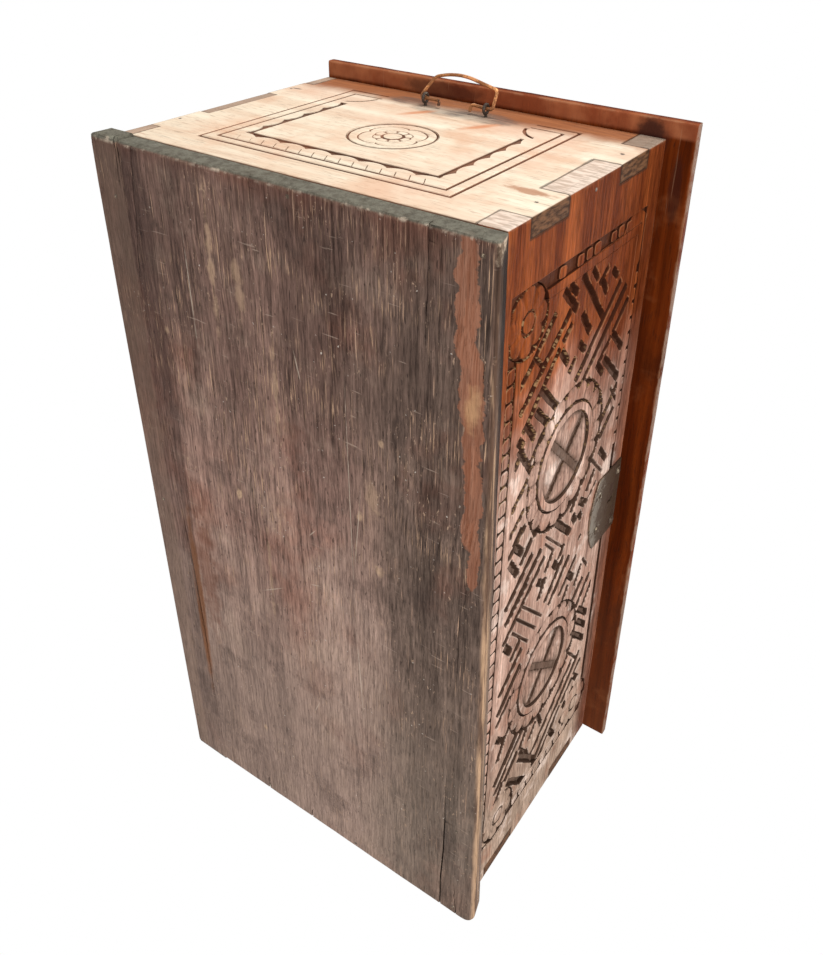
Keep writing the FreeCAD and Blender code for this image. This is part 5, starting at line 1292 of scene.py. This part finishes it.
SHORT_FALLING = [
    (93, 108, 101, 99, 5.4), (123, 119, 130, 112, 5.0), (70, 158, 78, 147, 4.4),
    (160, 53, 170, 44, 6.0), (163, 79, 171, 71, 5.4), (288, 116, 301, 106, 5.6),
    (296, 135, 304, 128, 5.2), (250, 178, 263, 168, 5.4), (265, 184, 276, 169, 3.2),
    (253, 152, 267, 142, 5.8), (250, 77, 263, 64, 6.0), (229, 60, 237, 51, 5.0),
    (351, 152, 365, 142, 5.6), (345, 175, 360, 166, 5.6), (309, 107, 323, 98, 6.2),
    (343, 73, 355, 61, 5.6), (478, 201, 487, 191, 5.4), (491, 187, 505, 170, 6.2),
    (508, 166, 524, 148, 6.4), (526, 145, 539, 132, 6.0), (479, 116, 491, 107, 5.6),
    (471, 100, 485, 90, 6.0), (485, 85, 501, 68, 6.4), (499, 63, 514, 53, 6.2), (440, 61, 460, 51, 6.4),
    (427, 73, 440, 64, 5.4), (384, 203, 402, 190, 5.4),
]
LONG_RISING = [  # x, z of the lower end, x, z of the upper end, width
    (64, 93, 84, 114, 5.6), (62, 119, 106, 157, 5.0), (62, 101, 72, 112, 4.6), (92, 124, 111, 139, 5.4),
    (126, 74, 158, 105, 5.4), (139, 68, 160, 89, 5.4), (144, 57, 159, 68, 5.4),
    (130, 181, 150, 201, 5.2), (146, 170, 176, 201, 6.0), (263, 118, 289, 144, 5.8),
    (264, 101, 297, 134, 1.8), (271, 101, 290, 119, 1.8), (236, 171, 261, 195, 2.2),
    (234, 184, 250, 199, 5.2), (311, 73, 349, 109, 2.0), (317, 65, 354, 99, 2.0),
    (326, 59, 359, 88, 2.0), (339, 177, 355, 189, 2.4), (399, 181, 421, 203, 5.2),
    (414, 182, 436, 203, 4.8), (428, 179, 452, 203, 5.0), (497, 89, 531, 121, 6.0),
    (509, 72, 541, 104, 6.2), (522, 66, 541, 84, 2.2), (158, 48, 186, 68, 4.6),
    (160, 106, 168, 114, 3.4), (442, 170, 466, 190, 2.2), (180, 190, 196, 203, 2.4),
]
SHORT_RISING = [
    (108, 97, 121, 108, 5.4), (75, 167, 83, 176, 4.4), (79, 152, 89, 160, 4.8), (63, 134, 73, 143, 4.4),
    (114, 124, 123, 134, 4.8), (145, 158, 158, 170, 5.2), (150, 46, 157, 53, 5.2),
    (266, 156, 275, 167, 6.0), (279, 158, 287, 163, 5.0), (274, 146, 284, 153, 5.6),
    (237, 77, 250, 84, 5.6), (243, 55, 254, 65, 5.6), (251, 47, 270, 60, 5.6),
    (339, 152, 349, 162, 5.8), (302, 119, 311, 126, 5.6), (303, 94, 309, 101, 5.4),
    (332, 49, 345, 59, 5.6), (492, 192, 501, 200, 5.2), (507, 189, 520, 198, 6.2),
    (511, 174, 529, 185, 5.6), (526, 151, 539, 160, 5.6), (529, 171, 541, 178, 4.6),
    (536, 119, 541, 126, 5.4), (473, 120, 493, 129, 4.6), (489, 91, 502, 100, 5.4),
    (501, 103, 516, 108, 4.6), (430, 47, 440, 56, 5.0), (98, 62, 106, 70, 3.0),
]
STROKES = LONG_FALLING + SHORT_FALLING + LONG_RISING + SHORT_RISING
print("strokes in the fret:", len(STROKES))

# %% A grid that lies along the bars
CUT_STEP = 0.95        # size of the grid's cells
FRET_TOP = 0.1         # how far the bars stay under the board's own face
BAR_LEAN = math.radians(47.5)   # the falling bars lie a little steeper than half a right angle

field_middle = ((FIELD[0] + FIELD[2]) / 2 + LEFT_END, (FIELD[1] + FIELD[3]) / 2)
field_span = (FIELD[2] - FIELD[0]) * math.sin(BAR_LEAN) + (FIELD[3] - FIELD[1]) * math.cos(BAR_LEAN)
cells = round(field_span / CUT_STEP)
nothing_selected()
bpy.ops.mesh.primitive_grid_add(
    x_subdivisions=cells,
    y_subdivisions=cells,
    size=field_span * MM,
    location=(field_middle[0] * MM, (FACE + FRET_TOP) * MM, field_middle[1] * MM),
    rotation=(math.radians(90), BAR_LEAN, 0),
)
fret = bpy.context.object
fret.name = fret.data.name = "fret"
settle(fret)
for place, outward in (
    ((FIELD[0] + LEFT_END, FIELD[1]), (-1, 0, 0)),
    ((FIELD[2] + LEFT_END, FIELD[1]), (1, 0, 0)),
    ((FIELD[0] + LEFT_END, FIELD[1]), (0, 0, -1)),
    ((FIELD[0] + LEFT_END, FIELD[3]), (0, 0, 1)),
):
    open_mesh(fret, whole=True)
    bpy.ops.mesh.bisect(plane_co=(place[0] * MM, FACE * MM, place[1] * MM), plane_no=outward,
                        clear_outer=True, threshold=1e-7)
close_mesh()
print("cells in the fret:", len(fret.data.polygons))

# %% Push the strokes back
STROKE_DEEP = 4.1       # how deep a stroke is cut
STROKE_WALL = 1.7       # how wide its sloping wall is
HOLLOW_DEEP = 4.3       # how deep the wood is cleared for the wheels and roses
WHEEL_HOLLOW = 58.6     # how far a wheel's hollow reaches from its middle
PEG_DEEP = 3.8          # how deep the lost peg's hole is
DEEPEST = 4.7           # no cut goes deeper than this


def stroke_depth(across, up, stroke, seed, deep, wall):
    """How deep one stroke cuts at each point: a trench with steep, slightly rippled walls."""
    x0, z0, x1, z1, width = stroke
    length = math.hypot(x1 - x0, z1 - z0)
    along = ((across - x0) * (x1 - x0) + (up - z0) * (z1 - z0)) / length
    aside = np.abs((across - x0) * (z1 - z0) - (up - z0) * (x1 - x0)) / length
    half = width / 2 * (1 + 0.035 * ripple(along, seed, 17.0)) + 0.05 * ripple(along, seed + 1, 6.0)
    inside = np.minimum(half - aside, np.minimum(along, length - along) + 0.6)
    return np.clip(inside / wall + 0.5, 0, 1) * min(deep, 0.9 + width * 0.75)


points = read_points(fret)
across, up = points[:, 0] - LEFT_END, points[:, 2]
depth = np.zeros(len(points))
for number, stroke in enumerate(STROKES):
    depth = np.maximum(depth, stroke_depth(across, up, stroke, 10 * number, STROKE_DEEP, STROKE_WALL))
wheel_reach = WHEEL_HOLLOW + 0.5 * ripple(across, 5, 21)
round_hollows = [(x, z, wheel_reach, HOLLOW_DEEP) for x, z in WHEELS]
round_hollows += [(x, z, ROSE_REACH, HOLLOW_DEEP) for x, z in ROSES]
round_hollows += [(PEG_HOLE[0], PEG_HOLE[1], PEG_HOLE[2] + 0.5, PEG_DEEP)]
for hollow_x, hollow_z, reach, deep in round_hollows:
    inside = reach - np.hypot(across - hollow_x, up - hollow_z)
    depth = np.maximum(depth, deep * np.clip(inside, 0, 1))
hills = 0.09 * ripple(across + up, 3, 17.0) + 0.07 * ripple(across - up, 4, 11.0)
hills += 0.05 * ripple(up, 8, 5.0)
floor_marks = 0.22 * ripple(across - up, 6, 4.4) * np.clip(depth - 2.5, 0, 1)
points[:, 1] = FACE + FRET_TOP + np.clip(0.14 + hills, 0.02, 1) + np.minimum(depth + floor_marks, DEEPEST)
write_points(fret, points)
print("deepest cut:", round(float(depth.max()), 2), "mm")

# %% Close the fret's back
open_mesh(fret, "EDGE")
bpy.ops.mesh.select_non_manifold()
bpy.ops.mesh.extrude_region_move(TRANSFORM_OT_translate={"value": (0, 0.02, 0)})
bpy.ops.mesh.edge_face_add()
close_mesh()
points = read_points(fret)
points[points[:, 1] > FIELD_FLOOR + 5, 1] = CARVING_BACK
write_points(fret, points)
smooth(fret, 40)
finish_piece(fret, "teak_front")
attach(fret, "case")
print("fret closed, faces:", len(fret.data.polygons))

# %% [markdown]
# ## The carved front: two wheels
#
# Each wheel is a flat ring at the old face of the board. Inside it, two sunk arms cross and leave four
# leaves, lightly domed and cut with short hatches; outside it lies a wreath of rounded petals with veins.
# A carver scribes such a thing with compasses, and the grid for it is laid out the same way: one straight
# row of points, spun round the middle, so that its cells follow the circles. Then it is pushed back by
# the depths of the cuts. One wheel is carved, and the second is a copy of it, turned a little.

# %% Spun grids
def spun_grid(name, middle, reach, outward, around, axis):
    """A flat round grid: a straight row of points, spun round its first point. Sizes in millimetres."""
    row_way = Vector((1, 0, 0)) if axis[0] == 0 else Vector((0, 1, 0))
    nothing_selected()
    bpy.ops.mesh.primitive_plane_add(size=1.0, location=(0, 0, 0))
    grid = bpy.context.object
    grid.name = grid.data.name = name
    mesh = open_mesh(grid, "VERT")
    for point in mesh.verts:
        point.select = point.co.y > 0
    bmesh.update_edit_mesh(grid.data)
    bpy.ops.mesh.delete(type="VERT")
    mesh = open_mesh(grid, "VERT")
    start, stop = sorted(mesh.verts, key=lambda point: point.co.x)
    start.co, stop.co = Vector(middle) * MM, (Vector(middle) + row_way * reach) * MM
    bmesh.update_edit_mesh(grid.data)
    bpy.ops.mesh.select_all(action="SELECT")
    bpy.ops.mesh.subdivide(number_cuts=outward - 1)
    bpy.ops.mesh.spin(steps=around, angle=2 * math.pi, center=Vector(middle) * MM, axis=axis)
    bpy.ops.mesh.select_all(action="SELECT")
    bpy.ops.mesh.remove_doubles(threshold=1e-6)
    close_mesh()
    return grid


def close_back(piece):
    """Close an open carved surface behind with one face, and turn all normals outwards."""
    open_mesh(piece, "EDGE")
    bpy.ops.mesh.select_non_manifold()
    bpy.ops.mesh.edge_face_add()
    bpy.ops.mesh.select_all(action="SELECT")
    bpy.ops.mesh.normals_make_consistent(inside=False)
    close_mesh()


def finish_carving(piece, slot_name, degrees):
    """Close a carved surface behind, shade it smooth up to an angle, and hand it to the case."""
    close_back(piece)
    smooth(piece, degrees)
    finish_piece(piece, slot_name)
    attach(piece, "case")

# %% Sizes of a wheel
RING_OUTSIDE = 42.0     # the flat ring, outer edge
RING_INSIDE = 35.4      # the flat ring, inner edge
LEAF_EDGE = 33.6        # the leaves end here; between them and the ring runs a groove
PETAL_START = 43.4      # petals start here; between them and the ring runs a groove
PETAL_END = 57.4        # the tips of the petals
ARM_HALF = 3.5          # half the width of a sunk arm
PETALS = 19
WHEEL_RIM = 58.8        # where the wheel's grid ends, under the fret's floor

# %% How deep a wheel is cut
def step_up(value, start, soft):
    """0 below start, 1 above it, with a slope as wide as soft."""
    return np.clip((value - start) / soft + 0.5, 0, 1)


def wheel_depth(radius, angle):
    """How far back each point of a wheel lies, from its distance to the middle and its angle."""
    east, north = radius * np.cos(angle), radius * np.sin(angle)
    wobble = 0.25 * ripple(angle * 40, 61, 33.0)
    ring = step_up(radius, RING_INSIDE + wobble, 0.5) * (1 - step_up(radius, RING_OUTSIDE + wobble, 0.5))

    falling, rising = np.abs(east + north) / math.sqrt(2), np.abs(east - north) / math.sqrt(2)
    notch = 0.6 * ripple(radius, 62, 7.0) + 0.3 * ripple(radius, 63, 3.3)
    arms = np.maximum(1 - step_up(falling, ARM_HALF + notch, 0.9),
                      1 - step_up(rising, ARM_HALF - 0.4 * notch, 0.9))
    arm_floor = 3.3 - 1.0 * (1 - step_up(rising, 3.0, 1.0)) + 0.3 * ripple(radius, 64, 11.0)
    to_edge = np.minimum(np.minimum(falling, rising) - ARM_HALF, LEAF_EDGE - radius)
    leaf_dome = 1.0 + 0.9 * np.clip(1 - to_edge / 7.0, 0, 1) ** 2
    quarter = np.round((angle - math.pi / 4) / (math.pi / 2) - 0.5)
    across_leaf = angle - (quarter + 0.5) * math.pi / 2 - math.pi / 4
    hatch = np.maximum(0, np.sin(across_leaf * radius / 2.0 + radius * 0.55) - 0.25)
    hatch = hatch * step_up(to_edge, 2.2, 1.5)
    leaf = leaf_dome + 0.5 * hatch * (0.5 + 0.5 * ripple(radius + angle * 9, 65, 9.0) ** 2)
    groove = 2.6 * step_up(radius, LEAF_EDGE, 0.7)
    inside = np.where(radius < LEAF_EDGE, np.maximum(leaf, arm_floor * arms), groove)

    turn = (angle / (2 * math.pi) * PETALS + 0.12 * ripple(angle * 40, 66, 50.0)) % 1.0
    from_crest = np.abs(turn - 0.5) * 2
    tip = PETAL_END - 6.2 * from_crest ** 2.6 + 0.5 * ripple(angle * 40, 67, 13.0)
    veins = 0.32 * np.maximum(0, np.sin((turn - 0.5) * 26 + (radius - PETAL_START) * 0.12))
    veins = veins * step_up(tip - radius, 1.5, 2)
    petal = 0.7 + 0.8 * np.clip((radius - 49) / 9, 0, 1) ** 2 + 0.9 * from_crest ** 5 + veins
    petal = petal + 2.0 * (1 - step_up(radius, PETAL_START, 0.7))
    outside = np.where(radius < tip, petal, petal + (4.3 - petal) * step_up(radius - tip, 0.4, 0.8))

    depth = np.where(radius < (RING_INSIDE + RING_OUTSIDE) / 2, inside, outside) * (1 - ring) + 0.12 * ring
    return np.clip(depth + 0.1 * ripple(east, 68, 13.0) + 0.08 * ripple(north, 69, 9.0), 0.05, 4.6)

# %% Lay out the grid of a wheel
wheel_x, wheel_z = WHEELS[0]
wheel_middle = Vector((wheel_x + LEFT_END, FACE + FRET_TOP, wheel_z))
wheel = spun_grid("wheel_left", wheel_middle, WHEEL_RIM, outward=74, around=240, axis=(0, 1, 0))
print("cells in a wheel:", len(wheel.data.polygons))

# %% Carve the wheel
points = read_points(wheel)
east, north = points[:, 0] - wheel_middle.x, points[:, 2] - wheel_middle.z
radius, angle = np.hypot(east, north), np.arctan2(north, east)
points[:, 1] = FACE + FRET_TOP + wheel_depth(radius, angle)
rim = radius > WHEEL_RIM - 0.01
points[rim, 1] = CARVING_BACK
write_points(wheel, points)
print("deepest in the wheel:", round(float(points[~rim, 1].max()) - FACE, 2), "mm")

# %% Close the wheel's back and copy it
finish_carving(wheel, "teak_front", 38)

second = wheel.copy()
second.data = wheel.data.copy()
second.name = second.data.name = "wheel_right"
bpy.context.scene.collection.objects.link(second)
open_mesh(second, whole=True)
bpy.ops.transform.rotate(value=math.radians(6), orient_axis="Y", center_override=wheel_middle * MM)
bpy.ops.transform.translate(value=((WHEELS[1][0] - wheel_x) * MM, 0, (WHEELS[1][1] - wheel_z) * MM))
close_mesh()
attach(second, "case")
print("wheels:", wheel.name, second.name, "open edges:",
      sum(not e.is_manifold for e in open_mesh(second).edges))
close_mesh()

# %% [markdown]
# ## The carved front: border and roses
#
# A sunk band frames the fret. Along its foot runs a row of beads, up its left side a ladder of blocks, and
# along the top and the right side small leaves, each cut free all round and rounded over with a skew
# chisel. One pillow is shaped for each kind: a block whose edges are bevelled twice. Then it is copied,
# and every copy is turned and sized a little, as no two were ever cut the same.

# %% One pillow, and a row of them
BAND_FLOOR = 2.2        # the border's band, below the face


def pillow(name, long, high, top):
    """A rounded block on the band's floor: its size along and across the row, its top under the face."""
    shape = block((-long / 2, FACE + top, -high / 2), (long / 2, FACE + BAND_FLOOR + 0.4, high / 2))
    shape.name = shape.data.name = name
    bevel_edges(shape, lambda a, b, angle: abs(a[1] - b[1]) > 1.0, width=min(long, high) * 0.26)
    bevel_edges(shape, lambda a, b, angle: angle > 30 and max(a[1], b[1]) < FACE + top + 0.01,
                width=1.1, segments=3)
    return shape


def row_of(shape, name, spots, seed, slant=0.0):
    """Copies of one shape at places on the front, each a little different, joined into one piece."""
    draw = random.Random(seed)
    copies = []
    for x, z in spots:
        other = shape.copy()
        other.data = shape.data.copy()
        bpy.context.scene.collection.objects.link(other)
        open_mesh(other, whole=True)
        grow = (draw.uniform(0.92, 1.05), 1.0, draw.uniform(0.9, 1.06))
        bpy.ops.transform.resize(value=grow, center_override=(0, 0, 0))
        bpy.ops.transform.rotate(value=math.radians(slant + draw.uniform(-6, 6)), orient_axis="Y",
                                 center_override=(0, 0, 0))
        bpy.ops.transform.translate(value=((x + LEFT_END + draw.uniform(-0.4, 0.4)) * MM, 0,
                                           (z + draw.uniform(-0.3, 0.3)) * MM))
        close_mesh()
        copies.append(other)
    bpy.data.objects.remove(shape, do_unlink=True)
    row = join(copies, name)
    smooth(row, 50)
    finish_piece(row, "teak_front")
    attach(row, "case")
    print(name, "copies:", len(spots))
    return row

# %% Beads, ladder and leaves
BEAD_PITCH = 12.2
row_of(pillow("bead", 10.6, 9.0, 0.25), "beads", [(96 + BEAD_PITCH * n, 30.6) for n in range(35)], 1)
LADDER_GAPS = (76, 105, 150)
rungs = [(49.6, 76 + 12.3 * n) for n in range(10)]
row_of(pillow("rung", 8.0, 9.4, 0.4), "ladder",
       [(x, z) for x, z in rungs if min(abs(z - gap) for gap in LADDER_GAPS) > 6], 2)
row_of(pillow("top_leaf", 10.6, 4.9, 0.35), "top_leaves", [(98 + 12.8 * n, 212.6) for n in range(12)], 3)
row_of(pillow("right_leaf", 8.6, 11.0, 0.3), "right_leaves", [(551.6, 90 + 12.9 * n) for n in range(8)],
       4, slant=14)

# %% [markdown]
# ### Roses
#
# Three roses sit on the crossings of the border, cut through band and ridge alike; the fourth, by the
# lid's left corner, is worn flat and stays as the solid has it. A rose has eight round lobes about a
# button. It is laid out like a wheel, as a spun grid that is pushed back.

# %% Roses on the front
def rose_depth(radius, angle):
    """How far back each point of a front rose lies."""
    lobe = 20.4 + 3.4 * np.abs(np.cos(4 * angle)) ** 0.7 + 0.3 * ripple(angle * 20, 71, 17.0)
    between_lobes = np.abs(np.sin(4 * angle)) ** 9 * np.clip((radius - 9) / 8, 0, 1)
    petal = 0.5 + 0.7 * np.clip((radius - 15) / 9, 0, 1) ** 2 + 0.9 * between_lobes
    beyond = step_up(radius, lobe, 0.9)
    button_groove = step_up(radius, 7.0, 0.7) * (1 - step_up(radius, 8.7 + 0.4 * np.cos(angle), 0.7))
    button = 0.2 + 0.5 * np.clip(radius / 7.2, 0, 1) ** 3
    depth = np.where(radius < 7.6, button, petal) * (1 - beyond) + 2.9 * beyond + 1.3 * button_groove
    return np.clip(depth + 0.12 * ripple(radius * np.cos(angle), 72, 7.0), 0.08, 4.2)


def carve_rose(name, rose_x, rose_z, turn):
    """One rose of the front, at a place measured along and up, turned by an angle."""
    middle = (rose_x + LEFT_END, FACE + FRET_TOP, rose_z)
    rose = spun_grid(name, middle, ROSE_REACH, outward=34, around=128, axis=(0, 1, 0))
    points = read_points(rose)
    east, north = points[:, 0] - middle[0], points[:, 2] - middle[2]
    radius = np.hypot(east, north)
    points[:, 1] = FACE + rose_depth(radius, np.arctan2(north, east) + turn)
    points[radius > ROSE_REACH - 0.01, 1] = CARVING_BACK
    write_points(rose, points)
    finish_carving(rose, "teak_front", 40)
    return rose


for number, (rose_x, rose_z) in enumerate(ROSES):
    rose = carve_rose(f"rose_{number + 1}", rose_x, rose_z, 0.3 * number)
print("roses:", len(ROSES), "faces each:", len(rose.data.polygons))

# %% [markdown]
# ## The ends: a scalloped frame and a rose
#
# Each end carries a frame of two cut lines. Inside it runs a narrow sunk band whose inner side is straight
# and whose outer side is a row of scallops, as made by one gouge pressed in again and again. So the cutter
# for it is a bar from which a row of round rods is taken, and what it leaves in the board are scallops.
# Short slanting ticks stand along the foot, and a crescent closes each upper corner of the band.

# %% Sizes of the end's carving
END_FACE = 300.0            # how far each end face lies from the middle of the chest
SCALLOP_RADIUS = 17.0
SCALLOP_RISE = 3.9          # from the points between the scallops to their crowns
BAND_THIN = 3.4             # the sunk band at a scallop's crown
BAND_DEEP = 1.6
FOOT_LINE, BACK_LINE, FRONT_LINE = 69.6, 81.0, -71.0    # the band's straight side: z, y, y
FOOT_PITCH, BACK_PITCH, FRONT_PITCH = 22.0, 21.4, 20.0
END_ROSE = (1.6, 122.0)     # y, z
END_ROSE_REACH = 32.0
END_ROSE_DEEP = 2.4         # the rose's back, under the face
TICKS, TICK_PITCH = 15, 10.9

# %% Cutters for the ends
def side_block(side, low_y, low_z, high_y, high_z, deep):
    """A bar that stands into one end face by a depth; side is -1 for the left end and 1 for the right."""
    near, far = sorted((side * (END_FACE - deep), side * (END_FACE + 3.0)))
    return block((near, low_y, low_z), (far, high_y, high_z))


def scalloped(side, bar, rods):
    """Take a row of rods, each given by y and z, from a bar."""
    return cut_away(bar, [rod(side * END_FACE, y, z, SCALLOP_RADIUS, 12.0, "X") for y, z in rods])


def end_cutters(side):
    """Everything that is cut into one end face, as closed shapes."""
    reach = BAND_THIN + SCALLOP_RISE
    drop = SCALLOP_RADIUS + BAND_THIN
    foot_bar = side_block(side, FRONT_LINE - 4, FOOT_LINE - reach, BACK_LINE + 4, FOOT_LINE, BAND_DEEP)
    foot_rods = [(FRONT_LINE + FOOT_PITCH * n, FOOT_LINE - drop) for n in range(8)]
    cutters = [scalloped(side, foot_bar, foot_rods)]
    back_bar = side_block(side, BACK_LINE, FOOT_LINE - 3, BACK_LINE + reach, 172.0, BAND_DEEP)
    back_rods = [(BACK_LINE + drop, 75.8 + BACK_PITCH * n) for n in range(6)]
    cutters.append(scalloped(side, back_bar, back_rods))
    front_bar = side_block(side, FRONT_LINE - reach, FOOT_LINE - 3, FRONT_LINE, 171.0, BAND_DEEP)
    front_rods = [(FRONT_LINE - drop, 70.0 + FRONT_PITCH * n) for n in range(6)]
    cutters.append(scalloped(side, front_bar, front_rods))
    for corner_y, inner in ((FRONT_LINE - 15.5, 1), (BACK_LINE + 15.5, -1)):
        disc = rod(side * END_FACE, corner_y, 200.5, 26.8, BAND_DEEP, "X")
        outside = side_block(side, corner_y - 40, 150.0, corner_y + 40, 240.0, 4.0)
        keep_y = sorted((corner_y + inner * 8.5, corner_y + inner * 27.5))
        keep = side_block(side, keep_y[0], 175.0, keep_y[1], 196.5, 3.0)
        cut_away(outside, [keep])
        cut_away(disc, [rod(side * END_FACE, corner_y - inner * 1.2, 201.7, 25.6, 12.0, "X"), outside])
        cutters.append(disc)
    for number in range(TICKS):
        tick_y = 81.5 - TICK_PITCH * number
        tick = side_block(side, tick_y, 52.0, tick_y + 0.7, 60.5, 0.9)
        open_mesh(tick, whole=True)
        bpy.ops.transform.rotate(value=math.radians(28), orient_axis="X",
                                 center_override=(side * END_FACE * MM, (tick_y + 0.3) * MM, 0.056))
        close_mesh()
        cutters.append(tick)
    cutters.append(rod(side * END_FACE, END_ROSE[0], END_ROSE[1], END_ROSE_REACH + 0.05, 2.2, "X"))
    return cutters

# %% Carve both end boards
def end_rim(a, b, angle):
    """The sharp edges round an end board's outer face, with its fingers."""
    outside = min(abs(a[0]), abs(b[0])) > 299
    at_rim = min(abs(a[1]), abs(b[1])) > 120 or max(a[2], b[2]) < 17 or min(a[2], b[2]) > 232
    return angle > 60 and (a - b).length > 9.0 and outside and at_rim


def frame_line(a, b, angle):
    """The edges of the frame's cut lines, in an end board's outer face."""
    outside = min(abs(a[0]), abs(b[0])) > 299.99
    in_width = min(a[1], b[1]) > -110 and max(a[1], b[1]) < 115
    in_height = min(a[2], b[2]) > 30 and max(a[2], b[2]) < 215
    return angle > 60 and (a - b).length > 30 and outside and in_width and in_height


for side, node in ((-1, "left_end_panel"), (1, "right_end_panel")):
    board = copy_of_node(node, node.replace("panel", "carved"))
    bevel_edges(board, end_rim, width=0.45)
    bevel_edges(board, frame_line, width=0.8, segments=1)
    cut_away(board, end_cutters(side))
    cut_across(board, 1, -144.0, 148.0, 16.0)
    line_edges(board, node, 1.7)
    dress_board(board, node, "teak_ends", "case", reach=1.6, amount=0.5, seed=26 + side)
    print(board.name, "faces:", len(board.data.polygons))

# %% [markdown]
# ### The ends' rose
#
# Inside a ring that is cut wide on two sides and fine on the others, a single line draws four lobes that
# meet in points. Small petals crowd round a button. All of it is under two millimetres deep.

# %% The ends' rose
def end_rose_depth(radius, angle):
    """How far back each point of an end's rose lies."""
    ring_inside = 30.3 - 1.9 * np.cos(angle - math.radians(135)) ** 2
    ring = step_up(radius, ring_inside, 0.7) * (1 - step_up(radius, 31.3, 0.4))
    lobes = 19.4 + 4.6 * np.abs(np.sin(2 * angle)) ** 0.5 + 0.25 * ripple(angle * 20, 81, 15.0)
    line = np.clip(1 - np.abs(radius - lobes) / (0.9 + 0.5 * np.abs(np.cos(2 * angle)) ** 6), 0, 1)
    petals = 12.6 + 1.3 * np.abs(np.cos(4 * angle + 0.3)) ** 0.7
    petal_line = np.clip(1 - np.abs(radius - petals) / 0.8, 0, 1)
    ribs = np.abs(np.sin(4 * angle + 0.3)) ** 12
    ribs = ribs * step_up(radius, 8.4, 0.8) * (1 - step_up(radius, petals, 0.8))
    button = step_up(radius, 6.6, 0.6) * (1 - step_up(radius, 8.3 + 0.6 * np.cos(angle + 0.8), 0.7))
    inside = 0.25 * (1 - step_up(radius, lobes, 0.6))
    depth = inside + 1.7 * ring + 1.0 * line + 0.55 * petal_line + 0.45 * ribs + 1.3 * button
    return np.clip(depth + 0.05 * ripple(radius * np.sin(angle), 82, 6.0), 0.03, 2.0)


def carve_end_rose(name, side):
    """The rose of one end; side is -1 for the left end and 1 for the right."""
    middle = (side * END_FACE, END_ROSE[0], END_ROSE[1])
    rose = spun_grid(name, middle, END_ROSE_REACH, outward=66, around=192, axis=(1, 0, 0))
    points = read_points(rose)
    along, up = points[:, 1] - middle[1], points[:, 2] - middle[2]
    radius = np.hypot(along, up)
    points[:, 0] = side * (END_FACE - end_rose_depth(radius, np.arctan2(up, -along)))
    points[radius > END_ROSE_REACH - 0.01, 0] = side * (END_FACE - END_ROSE_DEEP)
    write_points(rose, points)
    finish_carving(rose, "teak_ends", 40)
    return rose


for side, name in ((-1, "left_end_rose"), (1, "right_end_rose")):
    rose = carve_end_rose(name, side)
print("faces in an end's rose:", len(rose.data.polygons))

# %% [markdown]
# ## Iron and wire
#
# The bails and split pins are smooth wire, so their solids stay and are only shaded smooth, as are the
# lock plate's nails. The lock plate is a hand-cut sheet: its rim is filed, and its face was hammered flat
# and never quite became it. Its copy is cut into small squares, and the face is dented inwards.

# %% Lock plate
PLATE_SQUARE = 2.5      # the squares that the plate is cut into
PLATE_DENT = 0.55       # its deepest dent


def plate_rim(a, b, angle):
    """The sharp edges round the plate's outer face."""
    return angle > 60 and max(a[1], b[1]) < -153.4 and (a - b).length > 0.9


plate = copy_of_node("lock_plate", "plate_hammered")
bevel_edges(plate, plate_rim, width=0.35)
plate_low, plate_high = (np.array(corner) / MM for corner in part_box("lock_plate"))
for axis in (0, 2):
    cut_across(plate, axis, plate_low[axis] + PLATE_SQUARE, plate_high[axis], PLATE_SQUARE)
points = read_points(plate)
from_rim = np.minimum(points[:, 0] - plate_low[0], plate_high[0] - points[:, 0])
one_way = ripple(points[:, 0] + 0.6 * points[:, 2], 91, 17.0)
other_way = ripple(points[:, 2] - 0.4 * points[:, 0], 92, 13.0)
dents = np.clip(0.5 + 0.5 * one_way * other_way, 0, 1) * np.clip(from_rim / 3, 0.3, 1)
face_point = points[:, 1] < plate_low[1] + 0.02
points[face_point, 1] += PLATE_DENT * dents[face_point]
write_points(plate, points)
smooth(plate, 40)
finish_piece(plate, "sheet_iron")
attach(plate, "case")
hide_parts("lock_plate")
print("lock plate faces:", len(plate.data.polygons))

# %% Smooth wire and nails
ROUND_PIECES = ["lock_plate_nails"]
for side in ("left", "right"):
    ROUND_PIECES += [f"{side}_bail", f"{side}_bail_front_pin", f"{side}_bail_back_pin"]
    ROUND_PIECES += [f"{side}_hinge_case_pin", f"{side}_hinge_lid_pin"]
for node in ROUND_PIECES:
    smooth(NODES[node], 50)
print("solids shaded smooth:", len(ROUND_PIECES))

# %% [markdown]
# ## The end

# %% End
print("done")
